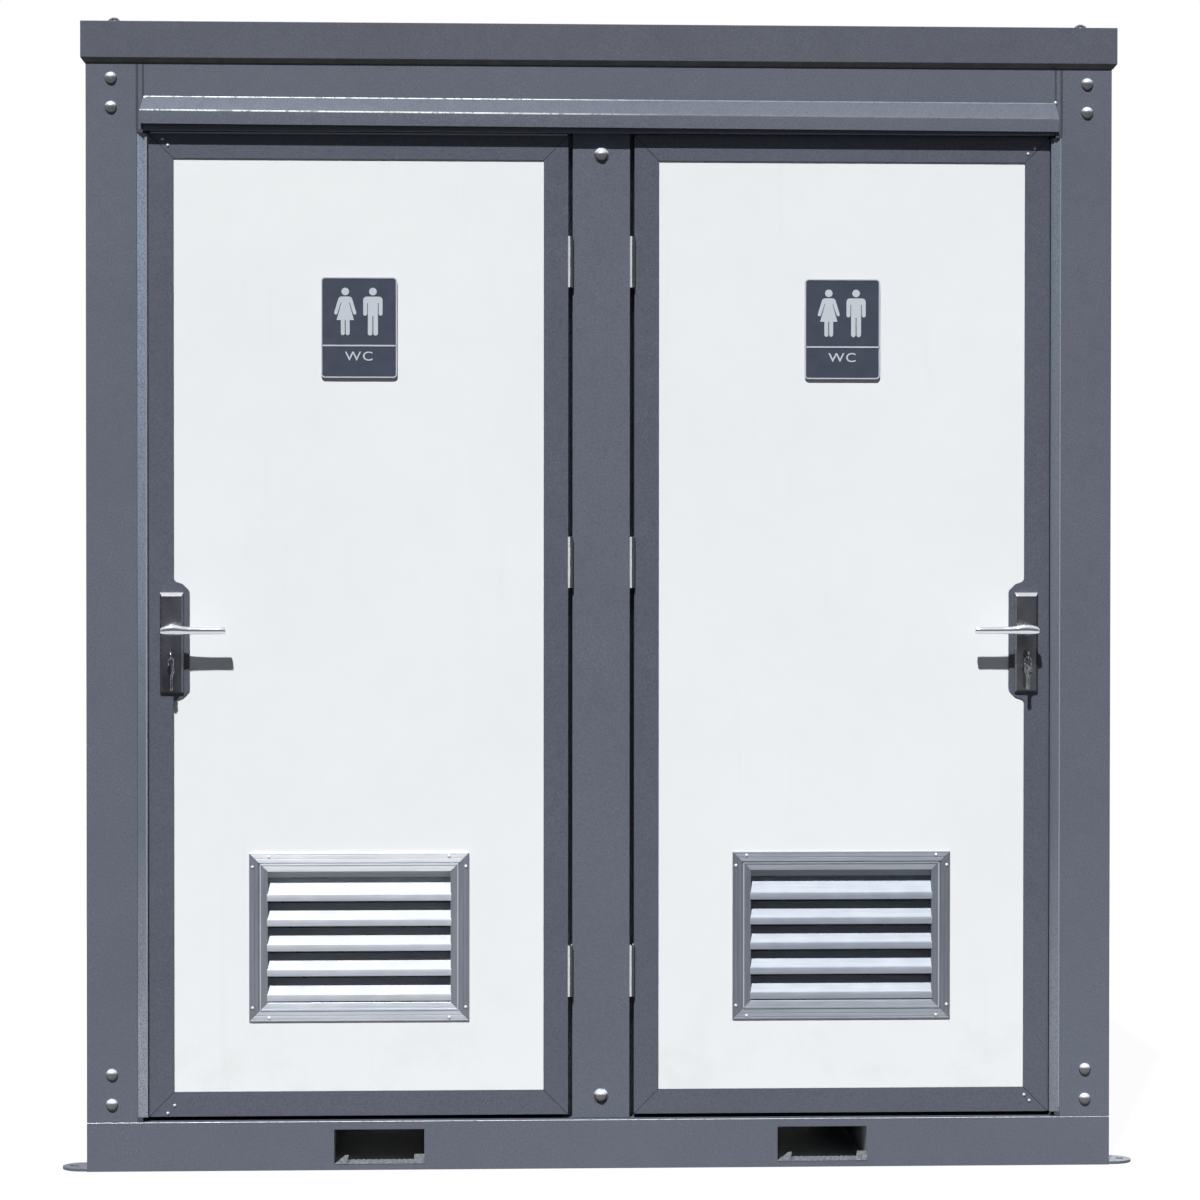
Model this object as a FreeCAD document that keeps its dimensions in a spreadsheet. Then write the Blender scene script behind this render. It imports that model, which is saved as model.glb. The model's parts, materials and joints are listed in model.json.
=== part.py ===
# Twin portable toilet cabin: steel frame, two outward doors back to back on a middle post,
# sandwich walls and a fitted cubicle behind each door. The origin is the centre of the base on
# the ground, +Z is up and the doors face -Y. Lengths are in millimetres, angles in degrees.
import FreeCAD, Part
import math
import os
import re
import Sketcher

doc = FreeCAD.newDocument("ToiletCabin")

driving = {
    # whole cabin
    "bodyWidth": 2100,
    "bodyDepth": 1300,
    "bodyHigh": 2343,
    # base of folded channel with two fork pockets, a middle joist and four anchor ears
    "baseHigh": 100,
    "baseFlange": 104,
    "baseSheet": 3,
    "forkWide": 184,
    "forkHigh": 70,
    "forkBottom": 13,
    "forkSheet": 3,
    "forkSpacing": 910,
    "forkLipHigh": 8,
    "forkTabWide": 20,
    "joistWide": 60,
    "earReach": 53,
    "earHalfDeep": 45,
    "earThick": 6,
    "earInset": 5,
    "earHole": 18,
    "earHoleFromTip": 24,
    # frame
    "postSize": 104,
    "postSheet": 3,
    "midPostWidth": 118,
    "midPostDeep": 80,
    "midPostRecess": 24,
    "frontBeamHigh": 218,
    "frontBeamDeep": 60,
    "sideBeamHigh": 101,
    "sideBeamDeep": 50,
    "seamGap": 1,
    "headCheek": 12,
    # dome headed bolts
    "boltHead": 25,
    "boltHeadHigh": 8,
    "boltFromEdge": 51,
    "boltTopDrop": 113,
    "boltTopPitch": 59,
    "boltLowRise": 30,
    "boltLowPitch": 61,
    "midBoltDrop": 44,
    "midBoltRise": 46,
    "washerSize": 30,
    "washerThick": 2,
    # roof cap, lifting staples and drip canopy
    "roofOverhang": 10,
    "roofSheet": 2,
    "fasciaHigh": 74,
    "hemDrop": 10,
    "hemGap": 0.3,
    "stapleWide": 31,
    "stapleHigh": 18,
    "stapleBar": 6,
    "stapleBack": 36,
    "canopyRise": 69,
    "canopyKnee": 40,
    "canopyLip": 12,
    "canopyReach": 12,
    "canopySheet": 1.5,
    "canopyShort": 11,
    # walls
    "wallThick": 50,
    "wallRecess": 12,
    "partitionThick": 50,
    "ceilingThick": 50,
    "deckThick": 18,
    # doors
    "doorRecess": 22,
    "leafThick": 45,
    "hingeGap": 9,
    "jambWidth": 22,
    "leafFloorGap": 9,
    "leafHeadGap": 5,
    "stileWide": 50,
    "panelRecess": 3,
    "jambSheet": 4,
    "stripProud": 12,
    "jambClear": 2.5,
    "beadWide": 2,
    "stopWide": 42,
    "stopThick": 8,
    "stopClear": 0.7,
    "headStopHigh": 20,
    "hingeStopWide": 21,
    # butt hinges
    "hingeLong": 105,
    "knuckleSize": 11,
    "pinSize": 6,
    "pinClear": 0.05,
    "knuckleClear": 0.3,
    "hingeProud": 6,
    "hingePlate": 2.5,
    "hingePlateDeep": 38,
    "hingeTopHeight": 1860,
    "hingeMiddleHeight": 1244,
    "hingeLowHeight": 404,
    # louvre vents
    "ventWide": 450,
    "ventHigh": 345,
    "ventLow": 303,
    "ventFlange": 38,
    "ventSheet": 4,
    "ventProud": 1,
    "slatCount": 5,
    "slatPitch": 51.4,
    "slatFirst": 16,
    "slatLip": 14.7,
    "slatRise": 24.5,
    "slatSheet": 2,
    "slatEdge": 2.4,
    "slatDeep": 30,
    # signs
    "signWide": 152,
    "signHigh": 204,
    "signThick": 4,
    "signCorner": 8,
    "signHeight": 1723,
    "signRim": 2.5,
    "signRaise": 1,
    "figureHigh": 97.5,
    "figureUp": 32.3,
    "figureApart": 56.4,
    "signBarHigh": 3.3,
    "signBarDrop": 38.6,
    # lock, lever and key
    "lockInset": 46,
    "bulgeReach": 32,
    "bulgeBelow": 124,
    "bulgeAbove": 80,
    "bulgeShelf": 14,
    "bulgeShoulder": 20,
    "bulgeRound": 10,
    "plateWide": 48,
    "plateHigh": 206,
    "plateThick": 8,
    "plateBevel": 4,
    "plateDrop": 26,
    "caseWide": 60,
    "caseHigh": 180,
    "caseThick": 25,
    "caseFromEdge": 22,
    "leverHeight": 1105,
    "leverLong": 112,
    "leverHigh": 15,
    "leverHeel": 20,
    "leverThick": 18,
    "leverStand": 50,
    "neckSize": 18,
    "spindleSize": 9,
    "bodyClear": 1,
    "latchHigh": 16,
    "latchThick": 12,
    "latchLong": 40,
    "latchThrow": 12,
    "notchClear": 2,
    "deadboltDrop": 85,
    "slideClear": 0.3,
    "keyDrop": 52,
    "plugSize": 15,
    "plugProud": 2,
    "keyBow": 24,
    "keyThick": 2.5,
    "keyHole": 6.4,
    "keyShoulder": 5,
    "keyNeck": 9.6,
    "keyEdge": 3,
    "thumbLong": 14,
    "ringSize": 24,
    "ringWire": 2,
    "spareKeyLong": 52,
    "spareKeyBow": 20,
    "spareKeyThick": 2.25,
    "spareKeyBlade": 6.8,
    "spareKeyApart": 3.5,
    # sanitary ware
    "panRim": 390,
    "panLong": 430,
    "panWide": 360,
    "panWaist": 230,
    "panFootSpread": 10,
    "panFootLong": 380,
    "panRear": 190,
    "panSlack": 20,
    "bowlWide": 240,
    "bowlLong": 300,
    "bowlDeep": 190,
    "shelfWide": 340,
    "shelfHigh": 97.5,
    "shelfForward": 78,
    "trunkForward": 195,
    "cisternWide": 380,
    "cisternHigh": 370,
    "cisternDeep": 170,
    "cisternRound": 20,
    "hingeToCistern": 78,
    "seatThick": 18,
    "seatClear": 0.5,
    "seatAxisHigh": 12,
    "lidThick": 14,
    "lidOpenAngle": 97,
    "seatPin": 8,
    "seatPinLong": 184,
    "seatPost": 12,
    "seatPostApart": 172,
    "seatOverlap": 2,
    "seatHoleWide": 224,
    "seatHoleFront": 158,
    "seatHoleRear": 120,
    "seatEar": 16,
    "seatEarWide": 15,
    "seatEarLong": 45,
    "seatEarApart": 139,
    "lidEarApart": 105,
    "buttonSize": 38,
    "buttonProud": 4,
    "buttonDeep": 10,
    "buttonWell": 16,
    "basinWide": 360,
    "basinReach": 230,
    "basinHigh": 130,
    "basinTop": 830,
    "basinFromFront": 330,
    "basinBowlWide": 280,
    "basinBowlReach": 150,
    "basinBowlDeep": 95,
    "basinBowlShift": 15,
    "basinRound": 69,
    "tapFromWall": 30,
    "tapBody": 26,
    "tapHigh": 95,
    "spoutReach": 105,
    "spoutSize": 18,
    "nozzleLong": 25,
    "tapLeverLong": 62,
    "tapLeverWide": 12,
    "tapLeverThick": 7,
    "tapStem": 8,
    "tapStemDeep": 10,
    "tapCapHigh": 12,
    "trapSize": 60,
    "trapHigh": 100,
    "trapNeck": 32,
    "trapDrop": 30,
    "wastePipe": 40,
    "soilPipe": 110,
    "soilSheet": 3.2,
    "soilSocket": 10,
    "soilHeight": 180,
    "soilProud": 40,
    "collarWide": 10,
    "collarThick": 4,
    "waterPipe": 16,
    "waterFromPost": 30,
    "branchGap": 30,
    "branchRise": 60,
    "waterHeight": 250,
    "nippleSize": 26,
    "pipeProud": 30,
    "pipeClear": 1,
    # fittings
    "mirrorWide": 300,
    "mirrorHigh": 450,
    "mirrorThick": 5,
    "mirrorLow": 1230,
    "lampSize": 220,
    "lampHigh": 55,
    "lampForward": 40,
    "fanDuct": 100,
    "fanSheet": 3,
    "fanSquare": 168,
    "fanDeep": 18,
    "fanBar": 4,
    "fanBarPitch": 16.7,
    "fanCross": 8,
    "fanDrop": 150,
    "fanShaft": 5,
    "fanHub": 30,
    "motorSize": 40,
    "motorLong": 22,
    "impellerTip": 92,
    "impellerDeep": 16,
    "impellerGap": 3,
    "bladeSheet": 2,
    "bladeAngle": 50,
    "bladeCount": 6,
    "hoodDeep": 48,
    "rollSize": 110,
    "rollLong": 98,
    "rollCore": 40,
    "rollHeight": 700,
    "rollFromRear": 430,
    "rollGap": 12,
    "holderPlate": 130,
    "holderSheet": 3,
    "inletWide": 90,
    "inletHigh": 120,
    "inletDeep": 60,
    "inletFromCorner": 240,
    "inletDrop": 330,
    "inletWell": 48,
    "inletPin": 6,
    "inletPinRing": 12,
    "inletPinRise": 8,
}

# Places that follow from the driving sizes
derived = {
    "halfWidth": "bodyWidth / 2",
    "halfDepth": "bodyDepth / 2",
    "frontFace": "-bodyDepth / 2",
    "roofUnder": "bodyHigh - roofSheet",
    "postInnerX": "bodyWidth / 2 - postSize",
    "postInnerY": "bodyDepth / 2 - postSize",
    "openingTop": "bodyHigh - roofSheet - frontBeamHigh",
    "sideBeamUnder": "bodyHigh - roofSheet - sideBeamHigh",
    "wallInnerX": "bodyWidth / 2 - wallRecess - wallThick",
    "wallInnerY": "bodyDepth / 2 - wallRecess - wallThick",
    "wallOuterY": "bodyDepth / 2 - wallRecess",
    "deckTop": "baseHigh + deckThick",
    "doorFace": "doorRecess - bodyDepth / 2",
    "doorBack": "doorRecess + leafThick - bodyDepth / 2",
    "stopFront": "doorRecess + leafThick + stopClear - bodyDepth / 2",
    "stopBack": "doorRecess + leafThick + stopClear + stopThick - bodyDepth / 2",
    "leafHingeX": "midPostWidth / 2 + hingeGap",
    "leafLockX": "bodyWidth / 2 - postSize - jambWidth",
    "leafLow": "baseHigh + leafFloorGap",
    "leafTop": "bodyHigh - roofSheet - frontBeamHigh - leafHeadGap",
    "leafMiddleX": "(midPostWidth / 2 + hingeGap + bodyWidth / 2 - postSize - jambWidth) / 2",
    "pinX": "midPostWidth / 2 + hingeGap / 2",
    "pinY": "doorRecess - hingeProud - bodyDepth / 2",
    "lockX": "bodyWidth / 2 - postSize - jambWidth - lockInset",
    "caseX": "bodyWidth / 2 - postSize - jambWidth - caseFromEdge",
    "caseBack": "doorRecess + leafThick + caseThick - bodyDepth / 2",
    "bulgeLow": "leverHeight - bulgeBelow",
    "bulgeTop": "leverHeight + bulgeAbove",
    "plateHeight": "leverHeight - plateDrop",
    "latchHeight": "leverHeight - plateDrop",
    "deadboltHeight": "leverHeight - deadboltDrop",
    "keyHeight": "leverHeight - keyDrop",
    "plateFront": "doorRecess - plateThick - bodyDepth / 2",
    "latchFront": "doorRecess + leafThick + stopClear + stopThick + slideClear - bodyDepth / 2",
    "cubicleX": "(partitionThick / 2 + bodyWidth / 2 - wallRecess - wallThick) / 2",
    "rimTop": "baseHigh + deckThick + panRim",
    "cisternFront": "bodyDepth / 2 - wallRecess - wallThick - cisternDeep",
    "seatAxisY": "bodyDepth / 2 - wallRecess - wallThick - cisternDeep - hingeToCistern",
    "seatAxisZ": "baseHigh + deckThick + panRim + seatAxisHigh",
    "basinLip": "baseHigh + deckThick + basinTop",
    "basinY": "basinFromFront - bodyDepth / 2",
    "basinBowlX": "bodyWidth / 2 - wallRecess - wallThick - basinReach / 2 - basinBowlShift",
    "fanZ": "bodyHigh - roofSheet - sideBeamHigh - fanDrop",
    "rollX": "partitionThick / 2 + holderSheet + rollSize / 2 + rollGap",
    "rollY": "bodyDepth / 2 - wallRecess - wallThick - rollFromRear",
    "rollZ": "baseHigh + deckThick + rollHeight",
    "soilZ": "baseHigh + deckThick + soilHeight",
    "waterX": "bodyWidth / 2 - postSize - waterFromPost",
    "tapX": "bodyWidth / 2 - wallRecess - wallThick - tapFromWall",
}

sheet = doc.addObject("Spreadsheet::Sheet", "Sizes")
for row, (word, number) in enumerate(driving.items(), start=1):
    sheet.set(f"A{row}", word)
    sheet.set(f"B{row}", str(number))
    sheet.setAlias(f"B{row}", word)
doc.recompute()

names = {word: "Sizes." + word for word in driving}
names.update({word: "Places." + word for word in derived})


def sized(formula):
    """The formula with each name pointing at its cell or place."""
    return re.sub(r"[A-Za-z]\w*", lambda found: names.get(found.group(), found.group()), formula)


place = doc.addObject("App::VarSet", "Places")
for word, formula in derived.items():
    place.addProperty("App::PropertyFloat", word, "Places")
    place.setExpression(word, sized(formula))
doc.recompute()

nodes = []


def bind(feature, formulas):
    for target, formula in formulas.items():
        feature.setExpression(target, sized(formula))
    return feature


def move(feature, x="0", y="0", z="0"):
    bind(feature, {"Placement.Base.x": x, "Placement.Base.y": y, "Placement.Base.z": z})
    return feature


turns = {
    "+X": FreeCAD.Rotation(FreeCAD.Vector(0, 1, 0), 90),
    "-X": FreeCAD.Rotation(FreeCAD.Vector(0, 1, 0), -90),
    "+Y": FreeCAD.Rotation(FreeCAD.Vector(1, 0, 0), -90),
    "-Y": FreeCAD.Rotation(FreeCAD.Vector(1, 0, 0), 90),
    "+Z": FreeCAD.Rotation(),
    "-Z": FreeCAD.Rotation(FreeCAD.Vector(1, 0, 0), 180),
}


def turn(feature, heading):
    feature.Placement = FreeCAD.Placement(FreeCAD.Vector(), turns[heading])
    return feature


def box(x, y, z, wide, deep, high):
    """Box whose low corner is at x, y, z."""
    part = doc.addObject("Part::Box", "Block")
    bind(part, {"Length": wide, "Width": deep, "Height": high})
    return move(part, x, y, z)


def span(x1, x2, y1, y2, z1, z2):
    """Box between two values on each axis."""
    return box(x1, y1, z1, f"({x2}) - ({x1})", f"({y2}) - ({y1})", f"({z2}) - ({z1})")


def rod(x, y, z, diameter, length, heading="+Z"):
    """Cylinder that starts at x, y, z and runs along its heading."""
    part = doc.addObject("Part::Cylinder", "Rod")
    bind(part, {"Radius": f"({diameter}) / 2", "Height": length})
    return move(turn(part, heading), x, y, z)


def ball(x, y, z, diameter):
    part = doc.addObject("Part::Sphere", "Ball")
    bind(part, {"Radius": f"({diameter}) / 2"})
    return move(part, x, y, z)


def dome(x, y, z, diameter, high, heading):
    """Half ellipsoid standing on a face and pointing along its heading."""
    part = doc.addObject("Part::Ellipsoid", "Dome")
    part.Angle1 = 0
    bind(part, {"Radius1": high, "Radius2": f"({diameter}) / 2", "Radius3": f"({diameter}) / 2"})
    return move(turn(part, heading), x, y, z)


def hollow(x, y, z, wide, deep, high):
    """Whole ellipsoid given by its three half lengths, used to cut a bowl."""
    part = doc.addObject("Part::Ellipsoid", "Hollow")
    bind(part, {"Radius1": high, "Radius2": wide, "Radius3": deep})
    return move(part, x, y, z)


def fuse(*parts):
    joined = doc.addObject("Part::MultiFuse", "Joined")
    joined.Shapes = list(parts)
    joined.Refine = True
    return joined


def cut(base, *tools):
    left = doc.addObject("Part::Cut", "Cut")
    left.Base = base
    left.Tool = tools[0] if len(tools) == 1 else gather(*tools)
    left.Refine = True
    return left


def gather(*parts):
    together = doc.addObject("Part::Compound", "Together")
    together.Links = list(parts)
    return together


def mirror(source, normal=(1, 0, 0)):
    other = doc.addObject("Part::Mirroring", "Other")
    other.Source = source
    other.Normal = normal
    return other


def pair(source):
    """A piece at the left and its mirror image at the right."""
    return gather(source, mirror(source))


def corners(source):
    """A piece at all four corners of the cabin."""
    front = pair(source)
    return gather(front, mirror(front, (0, 1, 0)))


def edges_along(shape, axis, chosen=lambda middle: True):
    """Numbers of the straight edges that run along an axis and are chosen by their middle."""
    found = []
    for number, edge in enumerate(shape.Edges, start=1):
        if not isinstance(edge.Curve, Part.Line):
            continue
        if abs(abs(edge.Curve.Direction.dot(axis)) - 1) < 1e-6 and chosen(edge.CenterOfMass):
            found.append(number)
    return found


def rounded(base, radius, axis, chosen=lambda middle: True):
    """Part fillet of the chosen straight edges; radius is a number from the sheet."""
    doc.recompute()
    part = doc.addObject("Part::Fillet", "Rounded")
    part.Base = base
    part.Edges = [(number, radius, radius) for number in edges_along(base.Shape, axis, chosen)]
    return part


AXIS_X = FreeCAD.Vector(1, 0, 0)
AXIS_Y = FreeCAD.Vector(0, 1, 0)
AXIS_Z = FreeCAD.Vector(0, 0, 1)


def body(name):
    return doc.addObject("PartDesign::Body", name)


def outline(owner, role, points):
    """Closed sketch on one of the body's own planes, through points given as formulas."""
    sketch = owner.newObject("Sketcher::SketchObject", "Outline")
    plane = [item for item in owner.Origin.OriginFeatures if item.Role == role][0]
    sketch.AttachmentSupport = [(plane, "")]
    sketch.MapMode = "FlatFace"
    count = len(points)
    angles = [2 * math.pi * number / count for number in range(count)]
    start = [FreeCAD.Vector(math.cos(angle), math.sin(angle), 0) for angle in angles]
    for number in range(count):
        sketch.addGeometry(Part.LineSegment(start[number], start[(number + 1) % count]), False)
    for number in range(count):
        after = (number + 1) % count
        sketch.addConstraint(Sketcher.Constraint("Coincident", number, 2, after, 1))
    for number, (across, up) in enumerate(points):
        for kind, formula in (("DistanceX", across), ("DistanceY", up)):
            added = sketch.addConstraint(Sketcher.Constraint(kind, -1, 1, number, 1, 1.0))
            sketch.setExpression(f"Constraints[{added}]", sized(formula))
    return sketch


def pad(owner, sketch, length, midplane=False, reverse=False):
    feature = owner.newObject("PartDesign::Pad", "Pad")
    feature.Profile = sketch
    feature.Midplane = midplane
    feature.Reversed = reverse
    feature.setExpression("Length", sized(length))
    owner.Tip = feature
    return feature


def pocket(owner, sketch, length, midplane=False, reverse=False):
    feature = owner.newObject("PartDesign::Pocket", "Pocket")
    feature.Profile = sketch
    feature.Midplane = midplane
    feature.Reversed = reverse
    feature.setExpression("Length", sized(length))
    owner.Tip = feature
    return feature


def dress(owner, kind, size, chosen):
    """PartDesign fillet or chamfer of chosen edges, with its size bound to the sheet."""
    doc.recompute()
    base = owner.Tip
    feature = owner.newObject("PartDesign::" + kind, kind)
    feature.Base = (base, [f"Edge{number}" for number in chosen(base.Shape)])
    feature.setExpression("Radius" if kind == "Fillet" else "Size", sized(size))
    owner.Tip = feature
    return feature


def solid(shape):
    """Shape worked out from the sheet where no ready feature fits."""
    feature = doc.addObject("Part::Feature", "Worked")
    feature.Shape = shape
    return feature


def node(label, feature):
    feature.Label = label
    nodes.append((label, feature))
    return feature


# Base: folded channels round the edge, fork tubes right through, a joist and the ears
def base_frame():
    ring = cut(
        span("-halfWidth", "halfWidth", "-halfDepth", "halfDepth", "0", "baseHigh"),
        span("baseFlange - halfWidth", "halfWidth - baseFlange",
             "baseFlange - halfDepth", "halfDepth - baseFlange", "-1", "baseHigh + 1"),
        span("baseSheet - halfWidth", "halfWidth - baseSheet",
             "baseSheet - halfDepth", "halfDepth - baseSheet", "baseSheet", "baseHigh - baseSheet"),
    )
    low = "forkBottom - forkSheet"
    high = "forkBottom + forkHigh + forkSheet"
    near = "forkSpacing / 2 - forkWide / 2"
    far = "forkSpacing / 2 + forkWide / 2"
    tube = span(f"-({far}) - forkSheet", f"-({near}) + forkSheet", "-halfDepth", "halfDepth", low, high)
    way = span(f"-({far})", f"-({near})", "-halfDepth - 1", "halfDepth + 1",
               "forkBottom", "forkBottom + forkHigh")
    joist = cut(
        span("-joistWide / 2", "joistWide / 2", "baseSheet - halfDepth", "halfDepth - baseSheet",
             "0", "baseHigh"),
        span("baseSheet - joistWide / 2", "joistWide / 2 - baseSheet", "-halfDepth", "halfDepth",
             "baseSheet", "baseHigh - baseSheet"),
    )
    ear = span("-halfWidth - earReach + earHalfDeep", "-halfWidth + baseSheet",
               "earInset - halfDepth", "earInset + 2 * earHalfDeep - halfDepth", "0", "earThick")
    middle = "earInset + earHalfDeep - halfDepth"
    nose = rod("-halfWidth - earReach + earHalfDeep", middle, "0", "2 * earHalfDeep", "earThick")
    inside = span("baseSheet - halfWidth", "halfWidth", "-halfDepth", "halfDepth", "-1", "earThick + 1")
    lug = cut(fuse(ear, nose), inside)
    hole = rod("-halfWidth - earReach + earHoleFromTip", middle, "-1", "earHole", "earThick + 2")
    lip = span(f"-({far}) + forkTabWide", f"-({near}) - forkTabWide", "-halfDepth", "forkSheet - halfDepth",
               "forkBottom", "forkBottom + forkLipHigh")
    shell = fuse(ring, tube, mirror(tube), joist, corners(lug))
    opened = cut(shell, way, mirror(way), corners(hole))
    return fuse(opened, pair(lip))


node("base_frame", base_frame())

post = cut(
    span("-halfWidth", "-postInnerX", "-halfDepth", "-postInnerY", "baseHigh", "roofUnder"),
    span("postSheet - halfWidth", "-postInnerX - postSheet", "postSheet - halfDepth",
         "-postInnerY - postSheet", "baseHigh - 1", "roofUnder + 1"),
)
node("corner_posts", corners(post))

post_blocks = corners(span("-halfWidth", "-postInnerX", "-halfDepth", "-postInnerY", "0", "bodyHigh"))


def mid_post():
    """Hollow post between the doors, under the front beam."""
    owner = body("MiddlePost")
    front = "frontFace + midPostRecess"
    back = "frontFace + midPostRecess + midPostDeep"
    outer = [("-midPostWidth / 2", front), ("midPostWidth / 2", front),
             ("midPostWidth / 2", back), ("-midPostWidth / 2", back)]
    side = "midPostWidth / 2 - postSheet"
    inner = [(f"-({side})", f"{front} + postSheet"), (side, f"{front} + postSheet"),
             (side, f"{back} - postSheet"), (f"-({side})", f"{back} - postSheet")]
    pad(owner, outline(owner, "XY_Plane", outer), "openingTop - baseHigh")
    pocket(owner, outline(owner, "XY_Plane", inner), "openingTop - baseHigh", reverse=True)
    return move(owner, z="baseHigh")


node("mid_post", mid_post())


def top_frame():
    """Deep front beam with a cheek at each end, and three shallower beams between the posts."""
    front = cut(
        span("headCheek + seamGap - postInnerX", "postInnerX - headCheek - seamGap", "-halfDepth",
             "frontBeamDeep - halfDepth", "openingTop", "roofUnder"),
        span("-halfWidth", "halfWidth", "postSheet - halfDepth",
             "frontBeamDeep - postSheet - halfDepth", "openingTop + postSheet", "roofUnder - postSheet"),
    )
    rear = cut(
        span("-postInnerX", "postInnerX", "halfDepth - sideBeamDeep", "halfDepth",
             "sideBeamUnder", "roofUnder"),
        span("-halfWidth", "halfWidth", "halfDepth - sideBeamDeep + postSheet", "halfDepth - postSheet",
             "sideBeamUnder + postSheet", "roofUnder - postSheet"),
    )
    side = cut(
        span("-halfWidth", "sideBeamDeep - halfWidth", "-postInnerY", "postInnerY",
             "sideBeamUnder", "roofUnder"),
        span("postSheet - halfWidth", "sideBeamDeep - postSheet - halfWidth", "-halfDepth", "halfDepth",
             "sideBeamUnder + postSheet", "roofUnder - postSheet"),
    )
    cheek = span("-postInnerX", "headCheek - postInnerX", "-halfDepth", "frontBeamDeep - halfDepth",
                 "openingTop", "roofUnder")
    return gather(front, rear, pair(side), pair(cheek))


node("top_frame", top_frame())


def canopy():
    """Folded drip flashing over both doors: back flange, slope, lip."""
    owner = body("Canopy")
    face = "frontFace"
    points = [
        (face, "openingTop + canopyRise"),
        (face, "openingTop + canopyLip"),
        (f"{face} - canopySheet", "openingTop + canopyLip"),
        (f"{face} - canopySheet", "openingTop + canopyRise - 3 * canopySheet"),
        (f"{face} - canopyReach + canopySheet", "openingTop + canopyKnee"),
        (f"{face} - canopyReach + canopySheet", "openingTop + canopyLip"),
        (f"{face} - canopyReach", "openingTop + canopyLip"),
        (f"{face} - canopyReach", "openingTop + canopyKnee"),
    ]
    pad(owner, outline(owner, "YZ_Plane", points), "2 * (postInnerX - canopyShort)", midplane=True)
    return owner


node("canopy", canopy())


def cap_block(inset, high_inset, grow):
    """Solid form of the roof cap, drawn in by an inset all round, open end grown downwards."""
    across = place.halfWidth + sheet.roofOverhang - inset
    along = place.halfDepth + sheet.roofOverhang - inset
    top = sheet.bodyHigh - high_inset
    knee = sheet.bodyHigh - sheet.fasciaHigh
    low = knee - sheet.hemDrop
    draw = sheet.roofOverhang - sheet.roofSheet - sheet.hemGap
    straight = Part.makeBox(2 * across, 2 * along, top - knee, FreeCAD.Vector(-across, -along, knee))
    rings = []
    for side, height in ((0, knee), (draw, low), (draw, low - grow)):
        x = across - side
        y = along - side
        points = [(-x, -y), (x, -y), (x, y), (-x, y), (-x, -y)]
        rings.append(Part.makePolygon([FreeCAD.Vector(a, b, height) for a, b in points]))
    parts = [straight, Part.makeLoft(rings[:2], True, True)]
    if grow:
        parts.append(Part.makeLoft(rings[1:], True, True))
    return parts[0].multiFuse(parts[1:]).removeSplitter()


def roof_cap():
    """Folded sheet cap: flat top, fascia and a hem turned in at 45 degrees."""
    sheet_thick = sheet.roofSheet
    return solid(cap_block(0, 0, 0).cut(cap_block(sheet_thick, sheet_thick, sheet_thick)))


node("roof_cap", roof_cap())


def lifting_eyes():
    """Bent bar staple on the roof over each corner post."""
    middle_x = "-halfWidth + postSize / 2"
    middle_y = "-halfDepth + postSize / 2 + stapleBack"
    bend = doc.addObject("Part::Torus", "Bend")
    bend.Placement = FreeCAD.Placement(FreeCAD.Vector(), turns["-Y"])
    bind(bend, {"Radius1": "(stapleWide - stapleBar) / 2", "Radius2": "stapleBar / 2"})
    bend.Angle3 = 180
    rise = "stapleHigh - stapleWide / 2"
    move(bend, middle_x, middle_y, f"bodyHigh + {rise}")
    half = "(stapleWide - stapleBar) / 2"
    leg = rod(f"{middle_x} - {half}", middle_y, "bodyHigh", "stapleBar", rise)
    other = rod(f"{middle_x} + {half}", middle_y, "bodyHigh", "stapleBar", rise)
    return corners(fuse(bend, leg, other))


node("lifting_eyes", lifting_eyes())


def frame_bolts():
    """Dome heads on the post faces, with a washer under each head on the middle post."""
    heads = []
    across = "boltFromEdge - halfWidth"
    heights = ["bodyHigh - boltTopDrop", "bodyHigh - boltTopDrop - boltTopPitch",
               "baseHigh + boltLowRise", "baseHigh + boltLowRise + boltLowPitch"]
    for height in heights:
        heads.append(corners(dome(across, "-halfDepth", height, "boltHead", "boltHeadHigh", "-Y")))
    for height in ("openingTop - midBoltDrop", "baseHigh + midBoltRise"):
        washer = rod("0", "frontFace + midPostRecess", height, "washerSize", "washerThick", "-Y")
        head = dome("0", "frontFace + midPostRecess - washerThick", height, "boltHead",
                    "boltHeadHigh", "-Y")
        heads.append(fuse(washer, head))
    return gather(*heads)


node("frame_bolts", frame_bolts())

# Walls, partition, floor and ceiling
node("side_walls", pair(span("-wallInnerX - wallThick", "-wallInnerX", "-postInnerY", "postInnerY",
                             "baseHigh", "sideBeamUnder")))


def rear_wall():
    """Rear sandwich wall with a clear hole for each pipe and duct that goes through it."""
    wall = span("-postInnerX", "postInnerX", "wallInnerY", "wallOuterY", "baseHigh", "sideBeamUnder")
    start = "wallInnerY - 1"
    through = "wallThick + 2"
    holes = [
        rod("-cubicleX", start, "soilZ", "soilPipe + 2 * pipeClear", through, "+Y"),
        rod("-cubicleX", start, "fanZ", "fanDuct + 2 * fanSheet + 2 * pipeClear", through, "+Y"),
        rod("-waterX", start, "deckTop + waterHeight", "waterPipe + 2 * pipeClear", through, "+Y"),
        rod("-basinBowlX", start, "deckTop + wastePipe", "wastePipe + 2 * pipeClear", through, "+Y"),
    ]
    return cut(wall, pair(gather(*holes)))


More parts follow.
